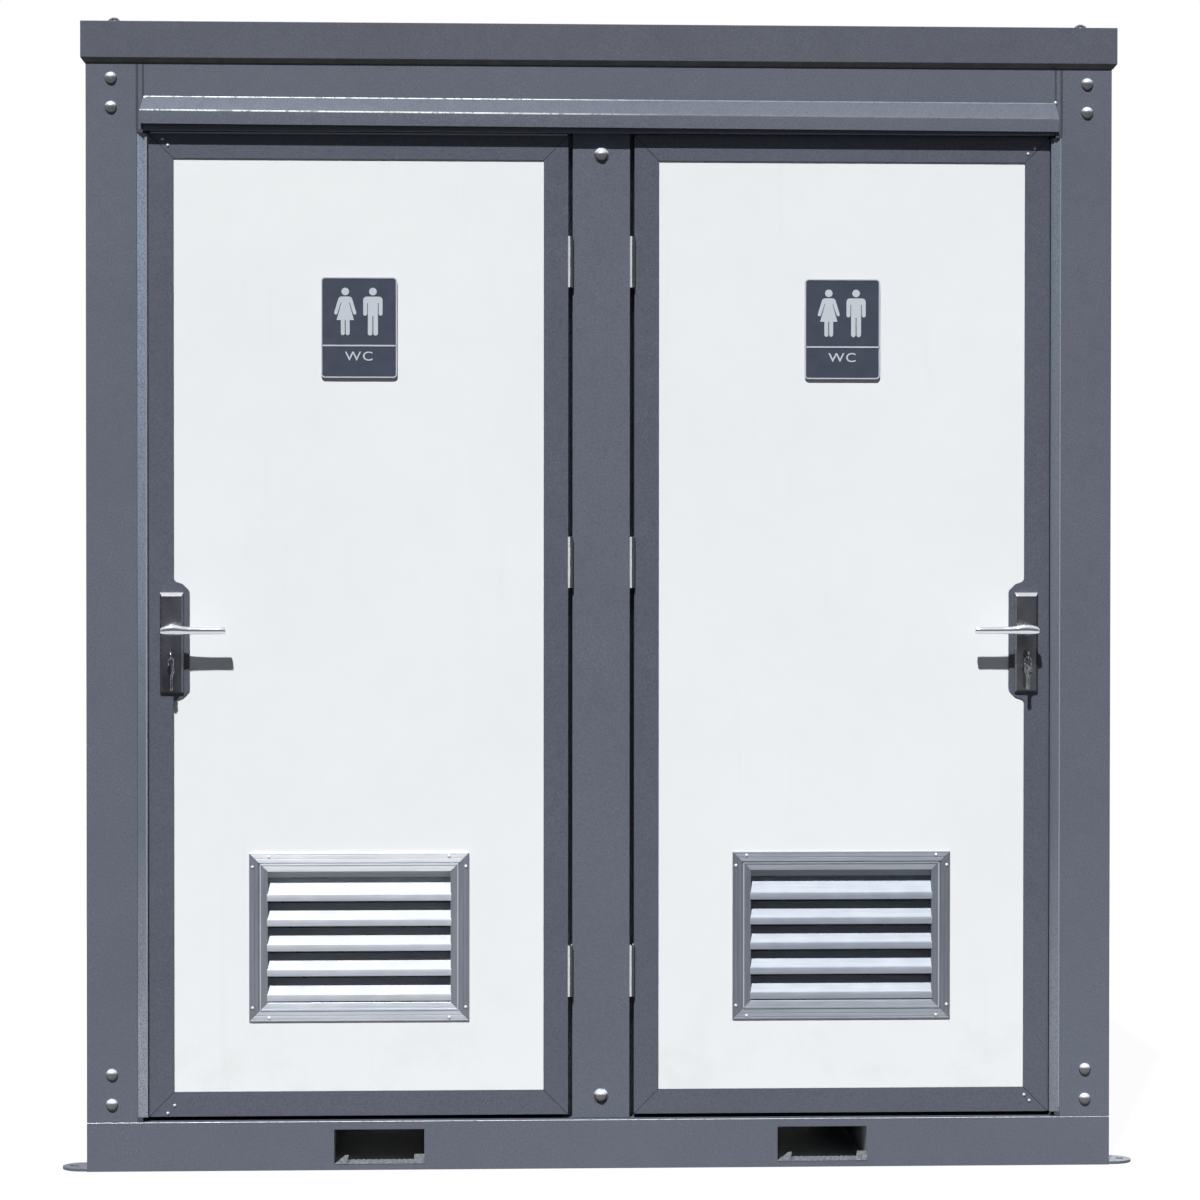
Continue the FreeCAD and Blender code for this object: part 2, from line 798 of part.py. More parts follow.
node("rear_wall", rear_wall())
node("partition_wall", span("-partitionThick / 2", "partitionThick / 2",
                            "frontFace + midPostRecess + midPostDeep", "wallInnerY",
                            "deckTop", "sideBeamUnder"))
node("ceiling_panel", cut(span("sideBeamDeep - halfWidth", "halfWidth - sideBeamDeep",
                               "frontBeamDeep - halfDepth", "halfDepth - sideBeamDeep",
                               "sideBeamUnder", "sideBeamUnder + ceilingThick"), post_blocks))
mid_block = span("-midPostWidth / 2", "midPostWidth / 2", "frontFace + midPostRecess",
                 "frontFace + midPostRecess + midPostDeep", "0", "bodyHigh")
node("floor_deck", cut(span("-wallInnerX", "wallInnerX", "stopBack + 2", "wallInnerY",
                            "baseHigh", "deckTop"), post_blocks, mid_block))


def door_jambs():
    """Lining of a doorway: face strip with a bead, web, stops round three sides.

    The stop is open where the spring latch passes, so the latch can stay out as the door moves."""
    face = "doorFace - stripProud"
    web = span("-postInnerX", "jambSheet - postInnerX", face, "stopBack", "baseHigh", "openingTop")
    strip = span("-postInnerX", "-leafLockX - jambClear", face, f"{face} + jambSheet",
                 "baseHigh", "openingTop")
    bead = span("-leafLockX - jambClear - beadWide", "-leafLockX - jambClear", f"{face} - beadWide",
                face, "baseHigh", "openingTop")
    stop = span("-postInnerX", "stopWide - postInnerX", "stopFront", "stopBack", "baseHigh", "openingTop")
    head = span("-postInnerX", "-midPostWidth / 2", "stopFront", "stopBack",
                "openingTop - headStopHigh", "openingTop")
    hinge_stop = span("-midPostWidth / 2 - hingeStopWide", "-midPostWidth / 2", "stopFront", "stopBack",
                      "baseHigh", "openingTop")
    notch = span("-caseX - latchThrow - 2 * notchClear", "stopWide - postInnerX + 1", "stopFront - 1",
                 "stopBack + 1", "latchHeight - latchHigh / 2 - notchClear",
                 "latchHeight + latchHigh / 2 + notchClear")
    return pair(cut(fuse(web, strip, bead, stop, head, hinge_stop), notch))


node("door_jambs", door_jambs())


def leaf_frame():
    """Door frame of flat stiles and rails, widened with soft shoulders behind the lock."""
    outer = span("-leafLockX", "-leafHingeX", "doorFace", "doorBack", "leafLow", "leafTop")
    inner = span("stileWide - leafLockX", "-leafHingeX - stileWide", "doorFace - 1", "doorBack + 1",
                 "leafLow + stileWide", "leafTop - stileWide")
    owner = body("LockBulge")
    root = "stileWide - leafLockX - 1"
    foot = "stileWide - leafLockX"
    crest = "stileWide + bulgeReach - leafLockX"
    shelf = f"{crest} - bulgeShelf"
    points = [
        (root, "bulgeLow - bulgeShoulder"),
        (foot, "bulgeLow - bulgeShoulder"),
        (shelf, "bulgeLow - bulgeShelf"),
        (crest, "bulgeLow"),
        (crest, "bulgeTop"),
        (shelf, "bulgeTop + bulgeShelf"),
        (foot, "bulgeTop + bulgeShoulder"),
        (root, "bulgeTop + bulgeShoulder"),
    ]
    pad(owner, outline(owner, "XZ_Plane", points), "leafThick", reverse=True)
    move(owner, y="doorFace")
    edge = place.leafLockX - sheet.stileWide
    near_bulge = (place.bulgeLow - 2 * sheet.bulgeShoulder, place.bulgeTop + 2 * sheet.bulgeShoulder)

    def shoulder(middle):
        return middle.x > -edge - 1 and middle.x < -edge + 2 * sheet.bulgeReach \
            and near_bulge[0] < middle.z < near_bulge[1]

    return rounded(fuse(cut(outer, inner), owner), sheet.bulgeRound, AXIS_Y, shoulder)


left_frame_blank = leaf_frame()


def lock_bores():
    """Ways through the leaf for the lever's spindle and the cylinder."""
    length = "leafThick + 2"
    return gather(
        rod("-lockX", "doorFace - 1", "leverHeight", "spindleSize + 2 * bodyClear", length, "+Y"),
        rod("-lockX", "doorFace - 1", "keyHeight", "plugSize + 2 * bodyClear", length, "+Y"),
    )


left_frame = node("left_door_frame", cut(left_frame_blank, lock_bores()))
node("right_door_frame", mirror(left_frame))

panel_front = "doorFace + panelRecess"
panel_back = "doorBack - panelRecess"
vent_low_x = "-leafMiddleX - ventWide / 2"
vent_high_x = "-leafMiddleX + ventWide / 2"
sleeve = "ventFlange - ventSheet"


def door_panel():
    blank = span("stileWide - leafLockX", "-leafHingeX - stileWide", panel_front, panel_back,
                 "leafLow + stileWide", "leafTop - stileWide")
    vent_hole = span(f"{vent_low_x} + {sleeve}", f"{vent_high_x} - ({sleeve})", "doorFace - 1",
                     "doorBack + 1", f"ventLow + {sleeve}", f"ventLow + ventHigh - ({sleeve})")
    return cut(blank, left_frame_blank, vent_hole)


left_panel = node("left_door_panel", door_panel())
node("right_door_panel", mirror(left_panel))


def door_vent():
    """Louvre: face flange, sleeve through the panel and sloping slats with a front lip."""
    plate = span(vent_low_x, vent_high_x, "doorFace - ventProud", panel_front,
                 "ventLow", "ventLow + ventHigh")
    tube = span(f"{vent_low_x} + {sleeve}", f"{vent_high_x} - ({sleeve})", panel_front, panel_back,
                f"ventLow + {sleeve}", f"ventLow + ventHigh - ({sleeve})")
    way = span(f"{vent_low_x} + ventFlange", f"{vent_high_x} - ventFlange", "doorFace - ventProud - 1",
               "doorBack", "ventLow + ventFlange", "ventLow + ventHigh - ventFlange")
    return fuse(cut(fuse(plate, tube), way), slats())


def slats():
    """The louvre's slats, each a folded strip with its ends in the sleeve's sides."""
    made = []
    front = "doorFace - ventProud + 1"
    for number in range(int(sheet.slatCount)):
        owner = body("Slat")
        low = f"ventLow + ventFlange + slatFirst + {number} * slatPitch - slatLip"
        points = [
            (front, low),
            (front, f"{low} + slatLip"),
            (f"{front} + slatDeep", f"{low} + slatLip + slatRise"),
            (f"{front} + slatDeep", f"{low} + slatLip + slatRise - slatEdge"),
            (f"{front} + slatSheet", f"{low} + slatLip - slatSheet"),
            (f"{front} + slatSheet", low),
        ]
        length = "ventWide - 2 * ventFlange + ventSheet"
        pad(owner, outline(owner, "YZ_Plane", points), length, midplane=True)
        made.append(move(owner, x="-leafMiddleX"))
    return gather(*made)


left_vent = node("left_door_vent", door_vent())
node("right_door_vent", mirror(left_vent))


def sign_body(name, inset, thick):
    """Rounded slab of the sign's outline, drawn in by an inset."""
    owner = body(name)
    x = f"(signWide / 2 - {inset})"
    z = f"(signHigh / 2 - {inset})"
    corners_of_plate = [(f"-{x}", f"-{z}"), (x, f"-{z}"), (x, z), (f"-{x}", z)]
    pad(owner, outline(owner, "XZ_Plane", corners_of_plate), thick)
    dress(owner, "Fillet", f"signCorner - {inset}", lambda shape: edges_along(shape, AXIS_Y))
    return owner


def figure(half, middle):
    """Raised figure from the points of its right half, given as shares of its height."""
    owner = body("Figure")
    both = half + [(-across, up) for across, up in reversed(half)]
    placed = [(f"{middle} + figureHigh * ({across})", f"figureUp + figureHigh * ({up})")
              for across, up in both]
    pad(owner, outline(owner, "XZ_Plane", placed), "signThick + signRaise")
    head = rod(middle, "0", "figureUp + figureHigh * 0.42", "figureHigh * 0.16",
               "signThick + signRaise", "-Y")
    return [owner, head]


woman = [(0.075, 0.314), (0.105, 0.295), (0.218, -0.03), (0.185, -0.055), (0.1, 0.2), (0.082, 0.2),
         (0.185, -0.174), (0.094, -0.174), (0.094, -0.5), (0.01, -0.5), (0.01, -0.174)]
man = [(0.13, 0.314), (0.198, 0.25), (0.198, -0.08), (0.139, -0.08), (0.139, 0.18), (0.111, 0.18),
       (0.111, -0.5), (0.013, -0.5), (0.013, -0.089)]


def sign_plate():
    """Sign with a raised rim, the figures of a woman and a man, and a bar under them."""
    rim = cut(sign_body("SignEdge", "0", "signThick + signRaise"),
              sign_body("SignField", "signRim", "signThick + signRaise + 1"))
    bar = span("signRim / 2 - signWide / 2", "signWide / 2 - signRim / 2", "-signThick - signRaise", "0",
               "-signBarDrop", "signBarHigh - signBarDrop")
    figures = figure(woman, "-figureApart / 2") + figure(man, "figureApart / 2")
    return fuse(sign_body("SignPlate", "0", "signThick"), rim, bar, *figures)


node("left_door_sign", move(sign_plate(), "-leafMiddleX", panel_front, "signHeight"))
node("right_door_sign", move(sign_plate(), "leafMiddleX", panel_front, "signHeight"))


def knuckles(height, numbers, diameter, gap):
    """Some of the five barrel lengths of a hinge, counted from the bottom."""
    made = []
    for number in numbers:
        low = f"{height} - hingeLong / 2 + {number} * hingeLong / 5 + {gap} / 2"
        made.append(rod("-pinX", "pinY", low, diameter, f"hingeLong / 5 - {gap}"))
    return made


def hinge_plate(height, x1, x2, kept):
    """Hinge leaf in the gap, cut back beside the barrel lengths that belong to the other leaf."""
    plate = span(x1, x2, "pinY", "pinY + hingePlateDeep", f"{height} - hingeLong / 2",
                 f"{height} + hingeLong / 2")
    others = [number for number in range(5) if number not in kept]
    return cut(plate, *knuckles(height, others, "knuckleSize + 2 * knuckleClear", "-knuckleClear"))


hinge_heights = ("hingeLowHeight", "hingeMiddleHeight", "hingeTopHeight")


def frame_hinge(height):
    plate = hinge_plate(height, "-midPostWidth / 2 - hingePlate", "-midPostWidth / 2", (0, 2, 4))
    pin = rod("-pinX", "pinY", f"{height} - hingeLong / 2 + knuckleClear / 2", "pinSize",
              "hingeLong - knuckleClear")
    return fuse(plate, pin, *knuckles(height, (0, 2, 4), "knuckleSize", "knuckleClear"))


def door_hinge(height):
    plate = hinge_plate(height, "-leafHingeX", "hingePlate - leafHingeX", (1, 3))
    bore = rod("-pinX", "pinY", f"{height} - hingeLong / 2", "pinSize + 2 * pinClear", "hingeLong")
    return cut(fuse(plate, *knuckles(height, (1, 3), "knuckleSize", "knuckleClear")), bore)


node("post_hinge_leaves", pair(gather(*[frame_hinge(height) for height in hinge_heights])))
left_hinges = node("left_door_hinges", gather(*[door_hinge(height) for height in hinge_heights]))
node("right_door_hinges", mirror(left_hinges))


def lock_body():
    """Bevelled plate outside and rim case inside, with ways for latch, bolt, lever and cylinder."""
    owner = body("LockPlate")
    rim = [("-plateWide / 2", "-plateHigh / 2"), ("plateWide / 2", "-plateHigh / 2"),
           ("plateWide / 2", "plateHigh / 2"), ("-plateWide / 2", "plateHigh / 2")]
    pad(owner, outline(owner, "XZ_Plane", rim), "plateThick")

    def front_edges(shape):
        face = -sheet.plateThick
        sides = edges_along(shape, AXIS_X) + edges_along(shape, AXIS_Z)
        return [number for number in sides if abs(shape.Edges[number - 1].CenterOfMass.y - face) < 1e-3]

    dress(owner, "Chamfer", "plateBevel", front_edges)
    move(owner, "-lockX", "doorFace", "plateHeight")
    case = span("-caseX", "caseWide - caseX", "doorBack", "caseBack", "plateHeight - caseHigh / 2",
                "plateHeight + caseHigh / 2")
    ways = [
        rod("-lockX", "plateFront - 1", "leverHeight", "neckSize + 2 * pinClear", "plateThick + 2", "+Y"),
        rod("-lockX", "doorBack - 1", "leverHeight", "spindleSize + 2 * bodyClear", "caseThick + 2", "+Y"),
        rod("-lockX", "plateFront - 1", "keyHeight", "plugSize + 2 * pinClear", "plateThick + 2", "+Y"),
        rod("-lockX", "doorBack - 1", "keyHeight", "plugSize + 2 * bodyClear", "caseThick + 2", "+Y"),
    ]
    for height in ("latchHeight", "deadboltHeight"):
        ways.append(span("-caseX - 1", "latchLong + 2 - caseX", "latchFront - slideClear",
                         "latchFront + latchThick + slideClear",
                         f"{height} - latchHigh / 2 - slideClear",
                         f"{height} + latchHigh / 2 + slideClear"))
    return cut(gather(owner, case), *ways)


left_lock = node("left_lock_body", lock_body())
node("right_lock_body", mirror(left_lock))


def lever():
    """Outer and inner lever arms on one spindle."""
    parts = [
        rod("-lockX", "doorFace - slideClear", "leverHeight", "neckSize", "leverStand - slideClear", "-Y"),
        rod("-lockX", "doorFace - slideClear - 1", "leverHeight", "spindleSize",
            "leafThick + caseThick + slideClear + 2", "+Y"),
        rod("-lockX", "caseBack + slideClear", "leverHeight", "neckSize", "leverStand - plateThick", "+Y"),
    ]
    middles = ("doorFace - leverStand", "caseBack + leverStand - plateThick")
    for middle in middles:
        owner = body("LeverArm")
        shape = [("-leverHeel", "-leverHigh / 2"), ("leverLong", "-leverHigh / 2"),
                 ("leverLong", "leverHigh / 2"), ("-leverHeel", "leverHigh / 2")]
        pad(owner, outline(owner, "XZ_Plane", shape), "leverThick", midplane=True)
        dress(owner, "Fillet", "leverHigh * 0.3", lambda found: edges_along(found, AXIS_X))
        parts.append(move(owner, "-lockX", middle, "leverHeight"))
    return fuse(*parts)


left_lever = node("left_lever", lever())
node("right_lever", mirror(left_lever))


def spring_latch():
    """Latch with its slope on the side that meets the stop as the door is pulled shut."""
    owner = body("Latch")
    tip = "-caseX - latchThrow"
    back = "latchFront + latchThick"
    points = [(tip, "latchFront"), (f"{tip} + latchLong", "latchFront"), (f"{tip} + latchLong", back),
              (f"{tip} + latchThick * 0.8", back), (tip, "latchFront + latchThick * 0.3")]
    pad(owner, outline(owner, "XY_Plane", points), "latchHigh", midplane=True)
    return move(owner, z="latchHeight")


left_latch = node("left_latch", spring_latch())
node("right_latch", mirror(left_latch))
left_deadbolt = node("left_deadbolt", span("-caseX", "latchLong - caseX", "latchFront",
                                           "latchFront + latchThick",
                                           "deadboltHeight - latchHigh / 2",
                                           "deadboltHeight + latchHigh / 2"))
node("right_deadbolt", mirror(left_deadbolt))

bow_y = "plateFront - plugProud - keyShoulder - keyBow / 2"
ring_y = "plateFront - plugProud - keyShoulder - keyBow + keyHole / 2 + keyEdge"
ring_top = "keyHeight - keyHole / 2 + ringWire / 2 + slideClear"


def key():
    """Cylinder plug from the outer plate to the thumb turn inside, with the key in it."""
    plug = rod("-lockX", "plateFront - plugProud", "keyHeight", "plugSize",
               "plateThick + plugProud + leafThick + caseThick + plugProud", "+Y")
    thumb = span("-lockX - keyThick", "keyThick - lockX", "caseBack + plugProud",
                 "caseBack + plugProud + thumbLong", "keyHeight - plugSize", "keyHeight + plugSize")
    neck = span("-lockX - keyThick / 2", "keyThick / 2 - lockX",
                bow_y, "plateFront - plugProud",
                "keyHeight - keyNeck / 2", "keyHeight + keyNeck / 2")
    bow = rod("-lockX - keyThick / 2", bow_y, "keyHeight", "keyBow", "keyThick", "+X")
    hole = rod("-lockX - keyThick", ring_y, "keyHeight", "keyHole", "2 * keyThick", "+X")
    return cut(fuse(plug, thumb, neck, bow), hole)


left_key = node("left_key", key())
node("right_key", mirror(left_key))


def key_ring():
    """Ring through the key's bow, with two spare keys hanging on it."""
    ring = turn(doc.addObject("Part::Torus", "Ring"), "+Y")
    bind(ring, {"Radius1": "(ringSize - ringWire) / 2", "Radius2": "ringWire / 2"})
    move(ring, "-lockX", ring_y, f"{ring_top} - (ringSize - ringWire) / 2")
    low = f"{ring_top} - (ringSize - ringWire)"
    hole_z = f"{low} - keyHole / 2 + ringWire"
    keys = []
    for side in ("-1", "1"):
        start = f"-lockX + {side} * spareKeyApart / 2 - spareKeyThick / 2"
        centre = f"{hole_z} + keyHole / 2 + keyEdge - spareKeyBow / 2"
        bow = rod(start, ring_y, centre, "spareKeyBow", "spareKeyThick", "+X")
        blade = span(start, f"{start} + spareKeyThick", f"{ring_y} - spareKeyBlade / 2",
                     f"{ring_y} + spareKeyBlade / 2", f"{centre} + spareKeyBow / 2 - spareKeyLong",
                     f"{centre} - spareKeyBow * 0.4")
        hole = rod(f"{start} - 1", ring_y, hole_z, "keyHole", "spareKeyThick + 2", "+X")
        keys.append(cut(fuse(bow, blade), hole))
    return gather(ring, *keys)


left_key_ring = node("left_key_ring", key_ring())
node("right_key_ring", mirror(left_key_ring))


# Sanitary ware, worked out as smooth forms round each pan's own centre
def egg(half_wide, front, rear, height, middle_x, middle_y):
    """Closed outline of four quarter ellipses, with its own reach to the front and the rear."""
    edges = []
    for number, reach in enumerate((rear, rear, front, front)):
        quarter = Part.Circle().toShape(math.radians(90 * number), math.radians(90 * number + 90))
        grown = FreeCAD.Matrix()
        grown.scale(half_wide, reach, 1)
        grown.move(FreeCAD.Vector(middle_x, middle_y, height))
        edges.append(quarter.transformGeometry(grown))
    return Part.Wire(edges)


pan_rear = sheet.panRear
pan_middle = place.seatAxisY - pan_rear


def pan_block():
    """Outside of the pan: a foot that narrows and then swells to the rim."""
    heights = (0, 0.3, 0.75, 1)
    waist = sheet.panWaist / 2
    halves = (waist + sheet.panFootSpread, waist, sheet.panWide * 0.43, sheet.panWide / 2)
    fronts = (sheet.panFootLong / 2, sheet.panFootLong * 0.45, sheet.panLong * 0.47,
              sheet.panLong - pan_rear)
    rings = []
    for share, half, front in zip(heights, halves, fronts):
        level = place.deckTop + share * sheet.panRim
        rings.append(egg(half, front, pan_rear - sheet.panSlack, level, -place.cubicleX, pan_middle))
    return solid(Part.makeLoft(rings, True, False))


def toilet_pan():
    shelf = span("-cubicleX - shelfWide / 2", "shelfWide / 2 - cubicleX", "seatAxisY - shelfForward",
                 "wallInnerY", "rimTop - shelfHigh", "rimTop")
    trunk = span("-cubicleX - panWaist / 2", "panWaist / 2 - cubicleX", "seatAxisY - trunkForward",
                 "cisternFront + soilPipe / 2", "deckTop", "rimTop - shelfHigh")
    bowl = hollow("-cubicleX", "seatAxisY - panLong / 2 - panSlack", "rimTop", "bowlWide / 2",
                  "bowlLong / 2", "bowlDeep")
    return cut(fuse(pan_block(), shelf, trunk), bowl)


node("toilet_pans", pair(toilet_pan()))


def cistern():
    owner = body("Cistern")
    half = "cisternWide / 2"
    pad(owner, outline(owner, "XY_Plane", [(f"-{half}", "0"), (half, "0"), (half, "cisternDeep"),
                                           (f"-{half}", "cisternDeep")]), "cisternHigh")
    dress(owner, "Fillet", "cisternRound",
          lambda shape: [number for number in edges_along(shape, AXIS_Z)
                         if shape.Edges[number - 1].CenterOfMass.y < 1])
    well = rod("0", "cisternDeep / 2", "cisternHigh - buttonWell", "buttonSize + 2 * slideClear",
               "buttonWell + 1")
    return move(cut(owner, well), "-cubicleX", "cisternFront", "rimTop")


node("cisterns", pair(cistern()))
left_button = node("left_flush_button", rod("-cubicleX", "cisternFront + cisternDeep / 2",
                                            "rimTop + cisternHigh + buttonProud - buttonDeep",
                                            "buttonSize", "buttonDeep"))
node("right_flush_button", mirror(left_button))


def ear_starts(apart):
    """Where the two ears of a seat or lid start, measured from the pan's middle."""
    return [f"{side} * {apart} / 2 - seatEarWide / 2" for side in ("-1", "1")]


def seat_outline(level, middle_x, middle_y):
    """Outer edge that seat and lid share."""
    reach = sheet.panLong - pan_rear + sheet.seatOverlap
    return egg(sheet.panWide / 2 + sheet.seatOverlap, reach, pan_rear - sheet.seatEarWide, level,
               middle_x, middle_y)


def seat_hinges():
    """Two posts on the pan that hold one pin for seat and lid."""
    posts_made = []
    for side in ("-1", "1"):
        inner = f"{side} * seatPostApart / 2 - seatPost / 2 - cubicleX"
        posts_made.append(span(inner, f"{inner} + seatPost",
                               "seatAxisY - seatEar / 2", "seatAxisY + seatEar / 2", "rimTop",
                               "seatAxisZ + seatEar / 2"))
    pin = rod("-seatPinLong / 2 - cubicleX", "seatAxisY", "seatAxisZ", "seatPin", "seatPinLong", "+X")
    return fuse(pin, *posts_made)


node("seat_hinges", pair(seat_hinges()))


def seat():
    """Seat ring with two ears round the hinge pin."""
    level = place.rimTop + sheet.seatClear
    outer = seat_outline(level, -place.cubicleX, pan_middle)
    inner = egg(sheet.seatHoleWide / 2, sheet.seatHoleFront, sheet.seatHoleRear, level,
                -place.cubicleX, pan_middle)
    ring = Part.Face(outer).cut(Part.Face(inner)).extrude(FreeCAD.Vector(0, 0, sheet.seatThick))
    parts = [solid(ring)]
    for start in ear_starts("seatEarApart"):
        parts.append(span(f"{start} - cubicleX", f"{start} + seatEarWide - cubicleX",
                          "seatAxisY - seatEarLong", "seatAxisY", "rimTop + seatClear", "seatAxisZ"))
        parts.append(rod(f"{start} - cubicleX", "seatAxisY", "seatAxisZ", "seatEar", "seatEarWide", "+X"))
    bore = rod("-seatPinLong / 2 - cubicleX", "seatAxisY", "seatAxisZ", "seatPin + 2 * pinClear",
               "seatPinLong", "+X")
    return cut(fuse(*parts), bore)


left_seat = node("left_seat", seat())
node("right_seat", mirror(left_seat))


def lid():
    """Lid drawn shut round its hinge line, then leant back open against the cistern."""
    level = sheet.seatThick + 2 * sheet.seatClear - sheet.seatAxisHigh
    outer = seat_outline(level, 0, -pan_rear)
    plate = solid(Part.Face(outer).extrude(FreeCAD.Vector(0, 0, sheet.lidThick)))
    parts = [plate]
    low = "seatThick + 2 * seatClear - seatAxisHigh"
    for start in ear_starts("lidEarApart"):
        end = f"{start} + seatEarWide"
        parts.append(span(start, end, "-seatEarLong", "seatEar / 2", low, f"{low} + lidThick"))
        parts.append(span(start, end, "-seatEar / 2", "seatEar / 2", "0", low))
        parts.append(rod(start, "0", "0", "seatEar", "seatEarWide", "+X"))
    bore = rod("-seatPinLong / 2", "0", "0", "seatPin + 2 * pinClear", "seatPinLong", "+X")
    opened = cut(fuse(*parts), bore)
    opened.Placement = FreeCAD.Placement(FreeCAD.Vector(), FreeCAD.Rotation(-AXIS_X, 1))
    bind(opened, {"Placement.Rotation.Angle": "lidOpenAngle"})
    return move(opened, "-cubicleX", "seatAxisY", "seatAxisZ")


left_lid = node("left_lid", lid())
node("right_lid", mirror(left_lid))


def basin():
    """Small wall basin with an oval bowl and rounded outer corners."""
    block = span("-wallInnerX", "basinReach - wallInnerX", "basinY - basinWide / 2",
                 "basinY + basinWide / 2", "basinLip - basinHigh", "basinLip")
    room_side = sheet.basinReach - place.wallInnerX
    soft = rounded(block, sheet.basinRound, AXIS_Z, lambda middle: middle.x > room_side - 1)
    bowl = hollow("-basinBowlX", "basinY", "basinLip", "basinBowlReach / 2", "basinBowlWide / 2",
                  "basinBowlDeep")
    return cut(soft, bowl)


node("basins", pair(basin()))


def tap():
    """Pillar tap: body, spout over the bowl and a socket for the lever's stem."""
    body_rod = rod("-tapX", "basinY", "basinLip", "tapBody", "tapHigh")
    spout_z = "basinLip + tapHigh - spoutSize"
    spout = rod("-tapX", "basinY", spout_z, "spoutSize", "spoutReach", "+X")
    tip = ball("spoutReach - tapX", "basinY", spout_z, "spoutSize")
    nozzle = rod("spoutReach - tapX", "basinY", spout_z, "spoutSize", "nozzleLong", "-Z")
    socket = rod("-tapX", "basinY", "basinLip + tapHigh - tapStemDeep - 2", "tapStem + 2 * pinClear",
                 "tapStemDeep + 3")
    return cut(fuse(body_rod, spout, tip, nozzle), socket)


node("taps", pair(tap()))


def tap_lever():
    stem = rod("-tapX", "basinY", "basinLip + tapHigh - tapStemDeep", "tapStem", "tapStemDeep + 2")
    cap = rod("-tapX", "basinY", "basinLip + tapHigh + slideClear", "tapBody - 2", "tapCapHigh")
    arm = span("-tapX", "tapLeverLong - tapX", "basinY - tapLeverWide / 2", "basinY + tapLeverWide / 2",
               "basinLip + tapHigh + 4", "basinLip + tapHigh + 4 + tapLeverThick")
    return fuse(stem, cap, arm)


left_tap_lever = node("left_tap_lever", tap_lever())
node("right_tap_lever", mirror(left_tap_lever))


def waste_pipes():
    """Soil pipe from the pan through the rear wall, and the basin's bottle trap and its run."""
    soil_start = "cisternFront + soilPipe / 2"
    soil_long = f"wallOuterY + soilProud - ({soil_start})"
    collar_size = "soilPipe + 2 * collarWide"
    outside = fuse(rod("-cubicleX", soil_start, "soilZ", "soilPipe", soil_long, "+Y"),
                   rod("-cubicleX", "wallOuterY", "soilZ", collar_size, "collarThick", "+Y"))
    bore = rod("-cubicleX", f"{soil_start} + soilSocket", "soilZ", "soilPipe - 2 * soilSheet",
               soil_long, "+Y")
    soil = cut(outside, bore)
    under = "basinLip - basinHigh"
    low = "deckTop + wastePipe"
    trap = fuse(
        rod("-basinBowlX", "basinY", f"{under} - trapDrop", "trapNeck", "trapDrop"),
        rod("-basinBowlX", "basinY", f"{under} - trapDrop - trapHigh", "trapSize", "trapHigh"),
        rod("-basinBowlX", "basinY", low, "wastePipe", f"{under} - trapDrop - trapHigh - ({low})"),
        ball("-basinBowlX", "basinY", low, "wastePipe"),
        rod("-basinBowlX", "basinY", low, "wastePipe", "wallOuterY + pipeProud - basinY", "+Y"),
        rod("-basinBowlX", "wallOuterY", low, "wastePipe + 2 * collarWide", "collarThick", "+Y"),
    )
    return pair(gather(soil, trap))


def water_pipes():
    """Cold feed from the rear nipple to the tap, with a branch to the cistern."""
    level = "deckTop + waterHeight"
    size = "waterPipe"
    top = "basinLip - basinHigh - trapDrop"
    rise = f"{top} - ({level})"
    branch_y = "cisternFront + cisternDeep / 2"
    branch_x = "-cubicleX - cisternWide / 2 - branchGap"
    branch_top = "rimTop + branchRise"
    parts = [
        rod("-waterX", "basinY", level, size, "wallOuterY + 1 - basinY", "+Y"),
        rod("-waterX", "wallOuterY", level, "nippleSize", "pipeProud", "+Y"),
        ball("-waterX", "basinY", level, size),
        rod("-waterX", "basinY", level, size, rise),
        ball("-waterX", "basinY", top, size),
        rod("-waterX", "basinY", top, size, "tapX - waterX", "-X"),
        ball("-tapX", "basinY", top, size),
        rod("-tapX", "basinY", top, size, "trapDrop"),
        rod("-waterX", branch_y, level, size, f"waterX + ({branch_x})", "+X"),
        ball(branch_x, branch_y, level, size),
        rod(branch_x, branch_y, level, size, f"{branch_top} - ({level})"),
        ball(branch_x, branch_y, branch_top, size),
        rod(branch_x, branch_y, branch_top, size, "branchGap", "+X"),
    ]
    return pair(fuse(*parts))


node("pipes", gather(waste_pipes(), water_pipes()))

# Fittings of each cubicle
node("mirrors", pair(span("-wallInnerX", "mirrorThick - wallInnerX", "basinY - mirrorWide / 2",
                          "basinY + mirrorWide / 2", "deckTop + mirrorLow",
                          "deckTop + mirrorLow + mirrorHigh")))


def ceiling_lamp():
    base = rod("-cubicleX", "lampForward", "sideBeamUnder", "lampSize", "lampHigh * 0.35", "-Z")
    shade = dome("-cubicleX", "lampForward", "sideBeamUnder - lampHigh * 0.35", "lampSize * 0.94",
                 "lampHigh * 0.65", "-Z")
    return fuse(base, shade)


node("ceiling_lamps", pair(ceiling_lamp()))


